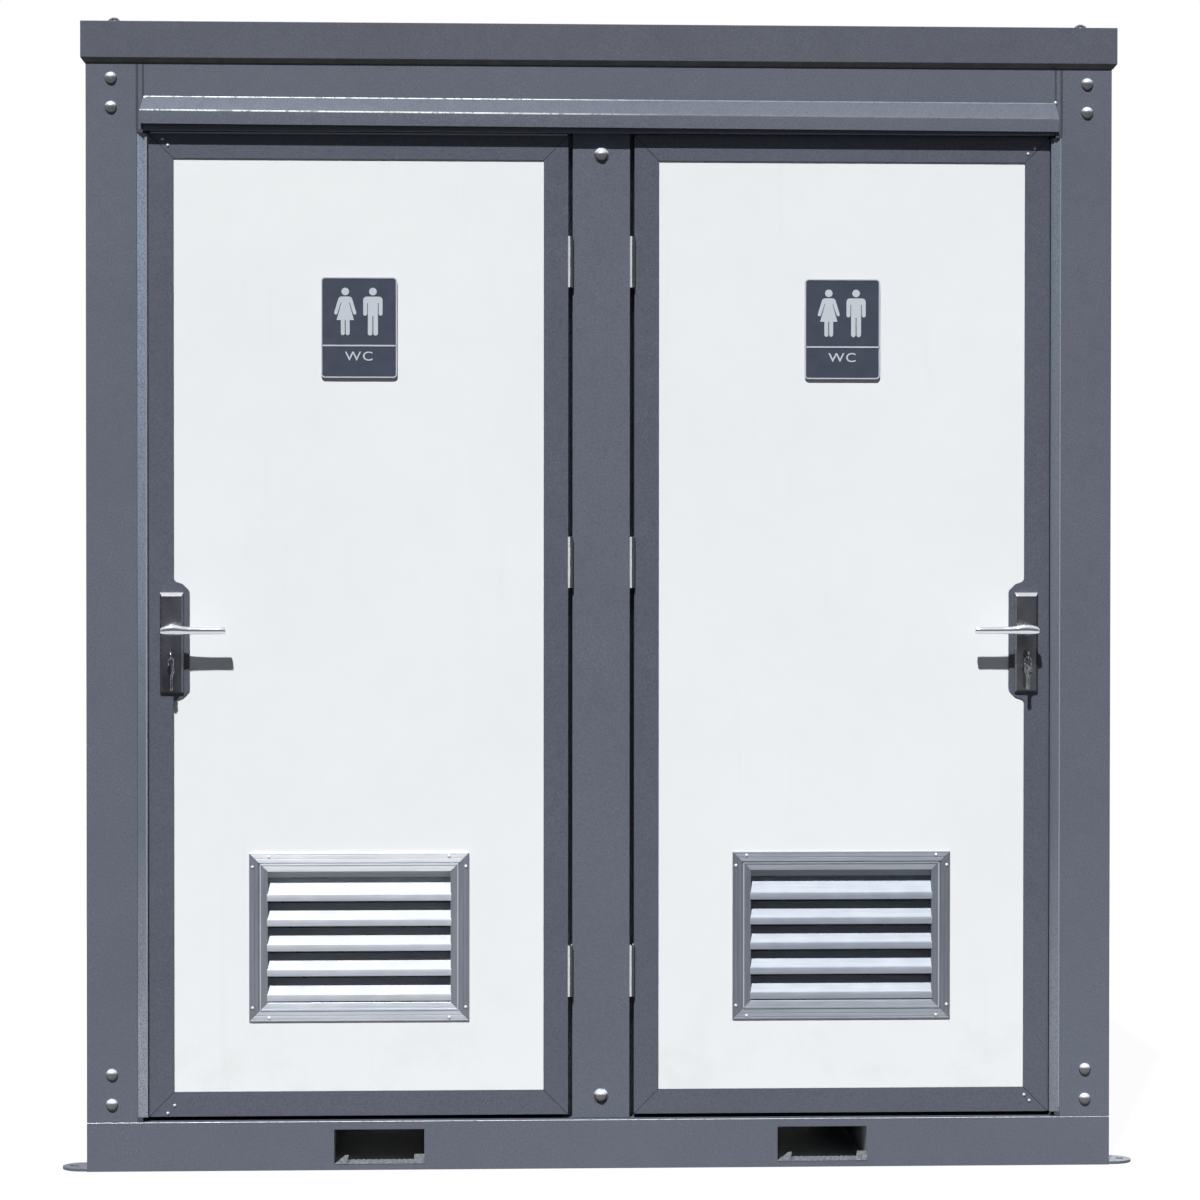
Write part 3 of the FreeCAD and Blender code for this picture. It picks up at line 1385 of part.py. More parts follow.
def fan_housing():
    """Duct through the rear wall, room grille and a motor on a cross bar."""
    inner = "wallInnerY"
    outside = "fanDuct + 2 * fanSheet"
    duct_long = "wallThick + 4"
    frame = span("-cubicleX - fanSquare / 2", "fanSquare / 2 - cubicleX", f"{inner} - fanDeep", inner,
                 "fanZ - fanSquare / 2", "fanZ + fanSquare / 2")
    well = rod("-cubicleX", f"{inner} - fanDeep - 1", "fanZ", "fanDuct", "fanDeep + 2", "+Y")
    duct = cut(rod("-cubicleX", inner, "fanZ", outside, duct_long, "+Y"),
               rod("-cubicleX", f"{inner} - 1", "fanZ", "fanDuct", f"{duct_long} + 2", "+Y"))
    bars = []
    for number in (-2, -1, 0, 1, 2):
        height = f"fanZ + {number} * fanBarPitch"
        bars.append(span("-cubicleX - fanDuct / 2", "fanDuct / 2 - cubicleX", f"{inner} - fanDeep",
                         f"{inner} - fanDeep + fanBar", f"{height} - fanBar / 2",
                         f"{height} + fanBar / 2"))
    motor_y = f"{inner} + impellerDeep + 2 * impellerGap"
    motor = rod("-cubicleX", motor_y, "fanZ", "motorSize", "motorLong", "+Y")
    shaft = rod("-cubicleX", f"{inner} + 2", "fanZ", "fanShaft",
                "impellerDeep + 2 * impellerGap", "+Y")
    cross = span("-cubicleX - fanDuct / 2", "fanDuct / 2 - cubicleX", f"{motor_y} + motorLong / 2",
                 f"{motor_y} + motorLong", "fanZ - fanCross / 2", "fanZ + fanCross / 2")
    return fuse(cut(frame, well), duct, motor, shaft, cross, *bars)


def fan_hood():
    """Rain hood on the rear wall's outer face, open below and toward the wall."""
    hood_far = "wallOuterY + hoodDeep"
    return cut(
        span("-cubicleX - fanSquare / 2", "fanSquare / 2 - cubicleX", "wallOuterY", hood_far,
             "fanZ - fanSquare / 2", "fanZ + fanSquare / 2"),
        span("fanSheet - cubicleX - fanSquare / 2", "fanSquare / 2 - fanSheet - cubicleX",
             "wallOuterY - 1", f"{hood_far} - fanSheet", "fanZ - fanSquare",
             "fanZ + fanSquare / 2 - fanSheet"),
    )


node("fan_housings", gather(pair(fan_housing()), pair(fan_hood())))


def fan_impeller():
    """Hub with a running bore and flat blades set at an angle."""
    start = "wallInnerY + impellerGap"
    hub = rod("-cubicleX", start, "fanZ", "fanHub", "impellerDeep", "+Y")
    blades = []
    root = sheet.fanHub / 2 - sheet.bladeSheet
    deep = sheet.impellerDeep * 0.9
    middle_y = place.wallInnerY + sheet.impellerGap + sheet.impellerDeep / 2
    for number in range(int(sheet.bladeCount)):
        blade = Part.makeBox(sheet.impellerTip / 2 - root, sheet.bladeSheet, deep,
                             FreeCAD.Vector(root, -sheet.bladeSheet / 2, -deep / 2))
        blade.rotate(FreeCAD.Vector(), AXIS_X, -sheet.bladeAngle)
        blade.rotate(FreeCAD.Vector(), AXIS_Y, 360 * number / sheet.bladeCount)
        blade.translate(FreeCAD.Vector(-place.cubicleX, middle_y, place.fanZ))
        blades.append(solid(blade))
    bore = rod("-cubicleX", "wallInnerY", "fanZ", "fanShaft + 2 * pinClear",
               "impellerDeep + 2 * impellerGap", "+Y")
    return cut(fuse(hub, *blades), bore)


left_impeller = node("left_fan_impeller", fan_impeller())
node("right_fan_impeller", mirror(left_impeller))


def paper_holder():
    """Wall plate on the partition, two arms and the spindle between them."""
    wall = "-partitionThick / 2"
    plate = span(f"{wall} - holderSheet", wall, "rollY - holderPlate / 2", "rollY + holderPlate / 2",
                 "rollZ - holderPlate / 4", "rollZ + holderPlate / 4")
    arms = []
    for side in ("-1", "1"):
        middle = f"rollY + {side} * (rollLong / 2 + 3)"
        arms.append(span("-rollX - rollCore / 2", wall, f"{middle} - holderSheet / 2",
                         f"{middle} + holderSheet / 2", "rollZ - rollCore / 2", "rollZ + rollCore / 2"))
    spindle = rod("-rollX", "rollY - rollLong / 2 - 3", "rollZ", "rollCore - 2 * slideClear",
                  "rollLong + 6", "+Y")
    return fuse(plate, spindle, *arms)


node("paper_holders", pair(paper_holder()))
left_roll = node("left_paper_roll", cut(
    rod("-rollX", "rollY - rollLong / 2", "rollZ", "rollSize", "rollLong", "+Y"),
    rod("-rollX", "rollY - rollLong / 2 - 1", "rollZ", "rollCore", "rollLong + 2", "+Y")))
node("right_paper_roll", mirror(left_roll))


def power_inlet():
    """Hooded inlet on the rear wall whose socket and three pins look down."""
    x1 = "halfWidth - inletFromCorner - inletWide"
    z1 = "sideBeamUnder - inletDrop"
    middle_x = f"{x1} + inletWide / 2"
    middle_y = "wallOuterY + inletDeep / 2"
    shell = span(x1, f"{x1} + inletWide", "wallOuterY", "wallOuterY + inletDeep", z1,
                 f"{z1} + inletHigh")
    well = rod(middle_x, middle_y, f"{z1} - 1", "inletWell", "inletWell + 1")
    pins = []
    for number in range(3):
        angle = 120 * number
        pins.append(rod(f"{middle_x} + inletPinRing * cos({angle} deg)",
                        f"{middle_y} + inletPinRing * sin({angle} deg)",
                        f"{z1} + inletPinRise", "inletPin", "inletWell"))
    return fuse(cut(shell, well), *pins)


node("power_inlet", power_inlet())

doc.recompute()
failed = [item.Label for item in doc.Objects if {"Invalid", "Error"} & set(item.State)]
unsound = [label for label, item in nodes if item.Shape.isNull() or not item.Shape.isValid()]
if failed or unsound:
    raise SystemExit(f"failed: {failed}; unsound: {unsound}")
os.makedirs("parts", exist_ok=True)
for label, item in nodes:
    item.Shape.exportStep(f"parts/{label}.step")
print(len(nodes), "nodes written")
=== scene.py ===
import json
import math

import bmesh
import bpy
from mathutils import Matrix, Vector


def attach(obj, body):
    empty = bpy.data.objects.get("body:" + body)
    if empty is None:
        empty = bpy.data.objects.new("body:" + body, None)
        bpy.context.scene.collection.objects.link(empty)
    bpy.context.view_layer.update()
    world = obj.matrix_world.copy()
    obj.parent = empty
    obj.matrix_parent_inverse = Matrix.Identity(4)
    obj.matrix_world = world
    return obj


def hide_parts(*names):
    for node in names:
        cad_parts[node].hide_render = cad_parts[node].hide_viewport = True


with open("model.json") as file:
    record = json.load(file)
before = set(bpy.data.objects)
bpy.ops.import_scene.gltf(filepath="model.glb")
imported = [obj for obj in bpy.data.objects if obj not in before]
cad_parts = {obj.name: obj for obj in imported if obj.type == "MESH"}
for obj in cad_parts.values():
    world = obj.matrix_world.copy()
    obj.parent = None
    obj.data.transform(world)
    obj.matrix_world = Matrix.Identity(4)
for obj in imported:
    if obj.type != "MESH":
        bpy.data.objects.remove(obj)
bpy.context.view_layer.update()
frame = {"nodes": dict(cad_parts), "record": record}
scene = bpy.context.scene
scene.view_settings.view_transform = "Standard"
sides = (("left", -1), ("right", 1))
bodyOfNode = {}
for bodyName, members in frame["record"]["behaviour"]["bodies"].items():
    for member in members:
        bodyOfNode[member] = bodyName
slotOfNode = {part["node"]: part["material_slot"] for part in frame["record"]["subparts"]}
print("frame loaded")


def tone(red, green, blue):
    made = []  # a colour picked as 0 to 255, made linear
    for value in (red, green, blue):
        value /= 255
        made.append(value / 12.92 if value <= 0.04045 else ((value + 0.055) / 1.055) ** 2.4)
    return (*made, 1)


def withSettings(made, **settings):
    for key, value in settings.items():
        setattr(made, key, value)
    return made


# a new node; an input is given as a value or as another node's output
def newNode(tree, kind, inputs=None, **settings):
    made = withSettings(tree.nodes.new(kind), **settings)
    for key, value in (inputs or {}).items():
        if isinstance(value, bpy.types.NodeSocket):
            tree.links.new(value, made.inputs[key])
        else:
            made.inputs[key].default_value = value
    return made


# a node material on object coordinates, built up in short steps
class Finish:
    def __init__(self, name, colour, rough, metal=0.0, **more):
        self.mat = bpy.data.materials.new(name)
        self.mat.use_nodes = True
        self.tree = self.mat.node_tree
        self.shader = self.tree.nodes["Principled BSDF"]
        self.colour = tone(*colour)
        given = {"Base_Color": self.colour, "Roughness": rough, "Metallic": metal, **more}
        for key, value in given.items():
            self.shader.inputs[key.replace("_", " ")].default_value = value
        self.coords = self.node("ShaderNodeTexCoord").outputs["Object"]
        self.height = None

    def node(self, kind, inputs=None, **settings):
        return newNode(self.tree, kind, inputs, **settings)

    def feed(self, source, key):
        self.tree.links.new(source, self.shader.inputs[key])

    def stretch(self, x, y, z):
        return self.node("ShaderNodeMapping", {"Vector": self.coords, "Scale": (x, y, z)}).outputs["Vector"]

    def noise(self, scale, detail=3.0, rough=0.5, vector=None):
        inputs = {"Vector": vector or self.coords, "Scale": scale, "Detail": detail, "Roughness": rough}
        return self.node("ShaderNodeTexNoise", inputs).outputs["Fac"]

    def cells(self, scale):
        return self.node("ShaderNodeTexVoronoi", {"Vector": self.coords, "Scale": scale}).outputs["Distance"]

    def ramp(self, source, low, high, start=0.0, end=1.0):
        inputs = {"Value": source, "From Min": low, "From Max": high, "To Min": start, "To Max": end}
        return self.node("ShaderNodeMapRange", inputs).outputs["Result"]

    def both(self, first, second, operation="MULTIPLY"):
        return self.node("ShaderNodeMath", {0: first, 1: second}, operation=operation).outputs[0]

    def blend(self, share, colour):
        inputs = {"Factor": share, 6: self.colour, 7: tone(*colour)}
        self.colour = self.node("ShaderNodeMix", inputs, data_type="RGBA").outputs[2]
        self.feed(self.colour, "Base Color")

    # patches of another colour where a noise lies between two levels
    def patches(self, colour, scale, low, high, share=1.0, detail=4, rough=0.6, vector=None):
        self.blend(self.ramp(self.noise(scale, detail, rough, vector), low, high, 0, share), colour)

    def roughen(self, source, low, high):
        self.feed(self.ramp(source, 0.3, 0.7, low, high), "Roughness")

    def bump(self, source, distance, strength=1.0):
        inputs = {"Strength": strength, "Distance": distance, "Height": source}
        if self.height:
            inputs["Normal"] = self.height
        self.height = self.node("ShaderNodeBump", inputs).outputs["Normal"]
        self.feed(self.height, "Normal")

    # share that runs from 0 at one place on an axis to 1 at another, in metres
    def between(self, axis, low, high):
        parts = self.node("ShaderNodeSeparateXYZ", {0: self.coords})
        return self.ramp(parts.outputs[axis], low, high)


# powder coat on steel: orange peel, fine grain with bright specks, soft clouds, dust near the ground;
# shifts are (axis, from, to, colour), for painted light: a coat painted lighter towards one end
def coated(name, colour, dark, light, rough=0.45, specks=0.6, shifts=()):
    made = Finish(name, colour, rough, Specular_IOR_Level=0.3)
    for axis, start, end, other in shifts:
        made.blend(made.between(axis, start, end), other)
    made.patches(light, 420, 0.44, 0.62, 0.8, 2)
    made.patches(dark, 300, 0.5, 0.68, 0.9, 3, 0.7)
    made.patches(dark, 3.5, 0.35, 0.75, 0.25, 5)
    made.patches(light, 1.3, 0.4, 0.75, 0.25, 3)
    sparse = made.both(made.ramp(made.cells(190), 0.16, 0.08), made.ramp(made.noise(9, 3), 0.45, 0.7))
    made.blend(made.both(sparse, specks), (168, 172, 180))
    dust = made.ramp(made.noise(14, 6, 0.65), 0.4, 0.75, 0, 0.3)
    made.blend(made.both(made.between("Z", 0.3, 0.0), dust), light)
    scuffs = made.noise(26, 5, 0.7, made.stretch(0.25, 1, 1))
    made.blend(made.ramp(scuffs, 0.74, 0.78, 0, 0.5), light)
    made.roughen(made.noise(40, 4, 0.6), rough - 0.07, rough + 0.12)
    made.bump(made.noise(520, 2, 0.5), 0.00035, 0.35)
    return made.mat


# painted highlight: a bright glint along a bend, in short dashes that fade towards the right
def glintEdge(name, start, end, scale=46, low=0.5):
    made = Finish(name, (232, 236, 239), 0.3, 0.2)
    made.patches((150, 156, 168), scale, low, low + 0.12, 0.9, 3, 0.7)
    made.patches((104, 109, 121), 120, 0.55, 0.63, 0.9, 3, 0.7)
    made.blend(made.between("X", start, end), (112, 117, 130))
    made.roughen(made.noise(60, 3), 0.24, 0.4)
    made.bump(made.noise(300, 3), 0.0003, 0.3)
    return made.mat


# white coated sheet with a faint waviness, fine grain and traces of dirt
def sandwich():
    made = Finish("panelCoat", (238, 240, 241), 0.42, Coat_Weight=0.06, Coat_Roughness=0.25)
    made.patches((223, 227, 229), 2.2, 0.35, 0.8, 0.25, 5)
    dirt = made.ramp(made.noise(9, 7, 0.7), 0.5, 0.8, 0, 0.35)
    made.blend(made.both(made.between("Z", 0.45, 0.1), dirt), (198, 199, 194))
    made.patches((204, 208, 211), 34, 0.64, 0.82, 0.1, 3, 0.5, made.stretch(1, 1, 0.06))
    made.roughen(made.noise(25, 3), 0.36, 0.5)
    made.bump(made.noise(260, 2), 0.0002, 0.3)
    made.bump(made.noise(5, 2), 0.002, 0.12)
    return made.mat


# bare or plated metal with clouded reflections and fine handling marks
def metal(name, colour, other, rough, share=1.0, grain=None, clouds=6.0):
    made = Finish(name, colour, rough, share)
    made.patches(other, clouds, 0.35, 0.7, 0.8)
    made.roughen(made.noise(60, 5, 0.7), max(rough - 0.06, 0.03), rough + 0.12)
    if grain:
        lines = made.stretch(*grain)
        made.patches(other, 700, 0.45, 0.65, 0.6, 2, 0.5, lines)
        made.bump(made.noise(700, 2, 0.5, lines), 0.0002, 0.25)
    made.bump(made.noise(45, 3), 0.0003, 0.1)
    return made.mat


# bolt steel with a painted highlight: each head is painted bright above its middle, for heads at these
# heights (mm)
def boltHighlightCoat(name, rows):
    made = Finish(name, (104, 104, 107), 0.34, 0.3)
    for row in rows:
        above = made.between("Z", (row + 2) / 1000, (row + 7) / 1000)
        below = made.between("Z", (row + 15) / 1000, (row + 14) / 1000)
        made.blend(made.both(above, below), (236, 241, 250))
    made.patches((92, 92, 95), 60, 0.4, 0.7, 0.3)
    made.roughen(made.noise(60, 5, 0.7), 0.28, 0.42)
    return made.mat


def glazed():
    made = Finish("ceramic", (244, 244, 241), 0.12, Coat_Weight=0.6, Coat_Roughness=0.05)
    made.patches((236, 237, 236), 4, 0.4, 0.8, 0.4, 3)
    made.roughen(made.noise(30, 3), 0.08, 0.18)
    made.bump(made.noise(14, 2), 0.001, 0.08)
    return made.mat


# moulded plastic with a fine texture and slight tonal drift
def moulded(name, colour, shade, rough, scale=400.0, depth=0.0002):
    made = Finish(name, colour, rough)
    made.patches(shade, 7, 0.35, 0.75, 0.5)
    made.roughen(made.noise(35, 3), rough - 0.06, rough + 0.08)
    made.bump(made.cells(scale), depth, 0.3)
    return made.mat


# film faced plywood with a pressed wire mesh pattern and lighter wear
def deckFilm():
    made = Finish("deckFilm", (74, 60, 50), 0.45)
    made.patches((98, 82, 70), 5, 0.45, 0.75, 0.7, 6, 0.7)
    made.patches((128, 116, 102), 60, 0.6, 0.8, 0.5)
    waves = []
    for angle in (0.785, -0.785):
        turned = made.node("ShaderNodeMapping", {"Vector": made.coords, "Rotation": (0, 0, angle)})
        wave = made.node("ShaderNodeTexWave", {"Vector": turned.outputs["Vector"], "Scale": 32.0})
        waves.append(wave.outputs["Fac"])
    made.bump(made.both(*waves, "MAXIMUM"), 0.0008, 0.7)
    made.roughen(made.noise(20, 4), 0.38, 0.6)
    return made.mat


# natural anodised aluminium with a drawn grain along the profile
def drawn(name, colour, other, along, share=0.25):
    made = Finish(name, colour, 0.34, share)
    lines = made.stretch(*along)
    made.patches(other, 260, 0.42, 0.62, 0.8, 3, 0.6, lines)
    made.patches(other, 5, 0.4, 0.75, 0.5)
    made.roughen(made.noise(30, 4), 0.28, 0.42)
    made.bump(made.noise(600, 2, 0.5, lines), 0.0001, 0.3)
    return made.mat


def paper():
    made = Finish("tissue", (240, 239, 234), 0.9, Sheen_Weight=0.3)
    made.patches((224, 222, 215), 120, 0.4, 0.7, 0.4, 5, 0.7)
    made.bump(made.cells(650), 0.0003, 0.6)
    made.bump(made.noise(60, 4), 0.0008, 0.3)
    return made.mat


def opal():
    made = Finish("opal", (244, 243, 236), 0.3, Subsurface_Weight=0.15, Subsurface_Scale=0.02)
    made.patches((233, 231, 222), 9, 0.4, 0.7, 0.4, 3)
    made.bump(made.cells(320), 0.0002, 0.3)
    return made.mat


# torch cut edge of a fork pocket: light scaly steel under thin paint
def torchCut():
    made = Finish("torchCut", (112, 114, 118), 0.55)
    made.patches((148, 151, 156), 160, 0.42, 0.62, 1, 6, 0.7)
    made.patches((88, 92, 101), 420, 0.55, 0.7, 1, 4, 0.7)
    made.bump(made.noise(260, 5, 0.7), 0.0012, 0.8)
    return made.mat


alongX, alongZ = (0.03, 1, 1), (1, 1, 0.03)  # how a drawn grain is stretched
finishes = {
    "frame_grey": coated("frameCoat", (92, 97, 109), (78, 82, 93), (108, 113, 125)),
    "panel_white": sandwich(),
    "deck_brown": deckFilm(),
    "lock_chrome": metal("chrome", (222, 225, 230), (196, 200, 207), 0.1),
    "hinge_steel": metal("hingeSteel", (226, 229, 233), (208, 212, 218), 0.3, 0.35, None, 3.0),
    "bolt_steel": metal("boltSteel", (132, 138, 150), (112, 118, 130), 0.28, 0.55, None, 40.0),
    "bolt_core": metal("boltCore", (180, 180, 182), (150, 150, 153), 0.3, 1.0, (0.05, 1, 1)),
    "sign_plate": moulded("signField", (60, 65, 80), (67, 72, 88), 0.38, 900, 0.0001),
    "ceramic_white": glazed(),
    "seat_white": moulded("seatPlastic", (243, 243, 240), (234, 234, 231), 0.22, 500, 0.00004),
    "mirror_glass": metal("mirrorGlass", (222, 228, 230), (214, 221, 224), 0.05, 1.0, None, 2.0),
    "lamp_opal": opal(),
    "fan_plastic": moulded("fanPlastic", (230, 230, 228), (217, 218, 217), 0.4),
    "pipe_grey": moulded("pipePlastic", (146, 150, 155), (132, 136, 142), 0.4),
    "paper": paper(),
    "inlet_blue": moulded("inletPlastic", (38, 78, 150), (31, 66, 130), 0.4),
    "key_brass": metal("keyNickel", (138, 140, 143), (84, 85, 88), 0.16, 1.0, None, 60.0),
}
doorCoat = coated("doorCoat", (83, 87, 99), (71, 74, 85), (97, 102, 114))
capCoat = coated("capCoat", (86, 89, 100), (73, 76, 86), (101, 105, 116))
# painted light: the canopy slope's coat is a little lighter than the frame coat, and lighter still towards
# its left end
slopeSheenCoat = coated("slopeSheenCoat", (99, 104, 119), (87, 92, 105), (112, 118, 133), 0.5, 0.3,
                   [("X", -0.3, -0.95, (110, 117, 134))])
# painted shade: a darker coat for the joint fillers, standing for the shade line in each joint
seamShadeCoat = coated("seamShadeCoat", (66, 69, 78), (58, 61, 69), (76, 80, 89))
# painted light: a light coat inside the fork pockets lifts their shade
pocketFillLight = coated("pocketFillLight", (165, 167, 170), (140, 142, 145), (185, 187, 190))
# painted light: the left jamb strip is painted lighter than the right, and both lighter towards top and
# bottom
liningLitLeft = coated("liningLitLeft", (113, 121, 133), (103, 110, 122), (125, 134, 147), 0.4, 0.2,
                    [("Z", 0.85, 1.7, (176, 189, 216)), ("Z", 0.7, 0.3, (178, 184, 193))])
liningLitRight = coated("liningLitRight", (95, 101, 111), (86, 91, 101), (105, 112, 123), 0.4, 0.2,
                     [("Z", 0.85, 2.0, (124, 133, 148)), ("Z", 0.7, 0.35, (133, 139, 147))])
rivetCoat = metal("rivetSteel", (204, 208, 214), (180, 184, 191), 0.3, 0.1)
# painted shade: a dark finish for downward faces that lie in shadow, under the roof hem, the canopy and the
# lock plates
paintedUnderShade = moulded("hemShade", (44, 46, 50), (38, 39, 43), 0.6)
# painted highlights: bright glints along the canopy bends and along the base's top front edge
bendGlint = glintEdge("paintedBendGlint", -0.25, 0.15)
baseGlint = glintEdge("baseGlint", 1.2, 2.0, 90, 0.56)
signLight = moulded("signLight", (198, 203, 211), (186, 192, 201), 0.34, 900, 0.0001)
# painted light on the lock plates: a dark front with strong painted reflection clouds, and a mid-grey finish
# for the side bevels
plateChrome = metal("plateChrome", (156, 157, 162), (72, 73, 77), 0.16, 1.0, None, 15.0)
plateSideShade = metal("plateSideShade", (104, 106, 111), (84, 86, 91), 0.24, 0.7)
# painted highlight: a lighter bead standing for a lit edge beside each door
beadHighlight = coated("beadHighlight", (134, 139, 151), (120, 125, 137), (150, 155, 166), 0.4, 0.2)
# painted highlight: a lighter line along the bead of each vent upright
ventBeadHighlight = drawn("ventBeadHighlight", (186, 192, 200), (170, 176, 185), alongZ)
# painted light: each vent part has its own lit or shaded tone, top rail and slopes lightest, uprights
# darkest, and the right vent painted duller than the left
ventLitTones = {  # both colours of each part on the left, then on the duller right
    "lower": ((202, 207, 214), (184, 190, 198), (160, 166, 175), (146, 153, 163)),
    "upright": ((130, 135, 145), (116, 121, 131), (116, 121, 131), (105, 110, 120)),
    "upper": ((240, 243, 247), (222, 227, 233), (164, 170, 179), (150, 157, 167)),
    "slope": ((212, 216, 222), (200, 205, 212), (188, 195, 204), (176, 184, 195)),
    "lip": ((184, 189, 197), (172, 177, 186), (150, 157, 168), (140, 147, 159)),
}
ventLitCoats = {}
for part, tones in ventLitTones.items():
    grain, share = alongZ if part == "upright" else alongX, 0.1 if part == "slope" else 0.25
    ventLitCoats["left", part] = drawn("left" + part.title(), *tones[:2], grain, share)
    ventLitCoats["right", part] = drawn("right" + part.title(), *tones[2:], grain, share)
finishes["vent_aluminium"] = ventLitCoats["left", "slope"]
cutSteel = torchCut()
hingeShade = metal("hingeShade", (76, 77, 80), (64, 65, 68), 0.35, 0.35)
print("finishes made")


# an object at the origin that holds this mesh, or other data
def flat(data, name="shape"):
    made = bpy.data.objects.new(name, data)
    scene.collection.objects.link(made)
    return made


def evaluated(thing):
    bpy.context.view_layer.update()
    return bpy.data.meshes.new_from_object(thing.evaluated_get(bpy.context.evaluated_depsgraph_get()))


# works an object's modifiers into its mesh and takes them off
def applied(thing):
    mesh = evaluated(thing)
    thing.modifiers.clear()
    old = thing.data
    thing.data = mesh
    bpy.data.meshes.remove(old)
    return thing


def shade(mesh, angle):
    form = bmesh.new()
    form.from_mesh(mesh)
    bmesh.ops.recalc_face_normals(form, faces=form.faces)
    limit = math.radians(angle)
    for face in form.faces:
        face.smooth = True
    for edge in form.edges:
        edge.smooth = len(edge.link_faces) == 2 and edge.calc_face_angle(0) < limit
    form.to_mesh(mesh)
    form.free()


# rounds sharp edges by a width in millimetres and shades the result
def softened(thing, width, segments=2, angle=30.0, smooth=40.0):
    withSettings(thing.modifiers.new("Soft", "BEVEL"), width=width / 1000, segments=segments,
                 limit_method="ANGLE", angle_limit=math.radians(angle), use_clamp_overlap=True)
    applied(thing)
    shade(thing.data, smooth)
    withSettings(thing.modifiers.new("Weighted", "WEIGHTED_NORMAL"), keep_sharp=True, weight=90)
    return applied(thing)


# a merged copy of a CAD node's mesh
def nodeForm(node):
    form = bmesh.new()
    form.from_mesh(frame["nodes"][node].data)
    bmesh.ops.remove_doubles(form, verts=form.verts, dist=2e-5)
    bmesh.ops.dissolve_limit(form, angle_limit=math.radians(0.6), verts=form.verts, edges=form.edges)
    return form


def meshOf(form, name):
    mesh = bpy.data.meshes.new(name)
    form.to_mesh(mesh)
    form.free()
    return mesh


# gives each face the finish whose number the picker returns for its centre (mm) and normal
def painted(thing, mats, picker):
    for mat in mats:
        thing.data.materials.append(mat)
    for face in thing.data.polygons:
        face.material_index = picker(face.center * 1000, face.normal)
    return thing


# names a piece, gives it its finish and hands it to its body
def finished(thing, name, bodyName, slotName, mats, *nodes):
    thing.name = name
    thing.data.name = name
    if not thing.data.materials:
        for mat in mats if isinstance(mats, (list, tuple)) else [mats]:
            thing.data.materials.append(mat)
    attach(thing, bodyName)
    if nodes:
        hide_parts(*nodes)
    return thing


# the CAD node's own form with soft edges, in its place
def dressed(node, width, segments=2, mats=None, picker=None):
    thing = softened(flat(meshOf(nodeForm(node), node)), width, segments)
    slotName = slotOfNode[node]
    if picker:
        painted(thing, mats, picker)
    return finished(thing, node + "_form", bodyOfNode[node], slotName, mats or finishes[slotName], node)


# collects solids given in millimetres, each with a material number
class Builder:
    def __init__(self):
        self.form = bmesh.new()

    def take(self, verts, faces, number=0):
        made = [self.form.verts.new(Vector(point) / 1000) for point in verts]
        for face in faces:
            fresh = self.form.faces.new([made[index] for index in face])
            fresh.material_index = number
        return made

    def block(self, x1, x2, y1, y2, z1, z2, number=0):
        points = [(x, y, z) for x in sorted((x1, x2)) for y in (y1, y2) for z in (z1, z2)]
        faces = [(0, 1, 3, 2), (4, 6, 7, 5), (0, 4, 5, 1), (2, 3, 7, 6), (0, 2, 6, 4), (1, 5, 7, 3)]
        return self.take(points, faces, number)

    # a closed outline of (x, z) points between two depths
    def prism(self, outline, y1, y2, number=0):
        count = len(outline)
        points = [(x, y1, z) for x, z in outline] + [(x, y2, z) for x, z in outline]
        faces = [tuple(range(count)), tuple(range(2 * count - 1, count - 1, -1))]
        faces += [(k, k + count, (k + 1) % count + count, (k + 1) % count) for k in range(count)]
        return self.take(points, faces, number)

    # joins rings of equal count; a number for each point of the ring may be given
    def loft(self, rings, number=0, closed=True):
        count = len(rings[0])
        numbers = number if isinstance(number, (list, tuple)) else [number] * count
        made = [self.form.verts.new(Vector(point) / 1000) for ring in rings for point in ring]
        for level in range(len(rings) - 1):
            for k in range(count):
                a = level * count + k
                b = level * count + (k + 1) % count
                fresh = self.form.faces.new([made[a], made[b], made[b + count], made[a + count]])
                fresh.material_index = numbers[k]
        if closed:
            last = (len(rings) - 1) * count
            for ends in (made[:count][::-1], made[last:]):
                self.form.faces.new(ends).material_index = numbers[0]

    # solid of (radius, length) points along an axis
    def lathe(self, profile, centre, heading, count=32, number=0):
        axis = Vector(heading).normalized()
        side = axis.orthogonal().normalized()
        other = axis.cross(side)
        turns = [2 * math.pi * k / count for k in range(count)]
        spokes = [side * math.cos(turn) + other * math.sin(turn) for turn in turns]
        foot = Vector(centre)
        rings = [[foot + axis * along + spoke * radius for spoke in spokes] for radius, along in profile]
        self.loft(rings, number)

    def thing(self, name, angle=35.0):
        bmesh.ops.remove_doubles(self.form, verts=self.form.verts, dist=1e-6)
        large = [face for face in self.form.faces if len(face.verts) > 4]
        bmesh.ops.triangulate(self.form, faces=large, ngon_method="EAR_CLIP")
        made = flat(meshOf(self.form, name), name)
        shade(made.data, angle)
        return made


# points of an arc in the x, z plane, angles in degrees
def arc(cx, cz, radius, start, end, steps):
    made = []
    for k in range(steps + 1):
        turn = math.radians(start + (end - start) * k / steps)
        made.append((cx + radius * math.cos(turn), cz + radius * math.sin(turn)))
    return made


def roundedRect(x1, x2, z1, z2, radius, steps=5):
    left, right, low, top = x1 + radius, x2 - radius, z1 + radius, z2 - radius
    made = []
    for quarter, (x, z) in enumerate(((right, top), (left, top), (left, low), (right, low))):
        made += arc(x, z, radius, 90 * quarter, 90 * quarter + 90, steps)
    return made


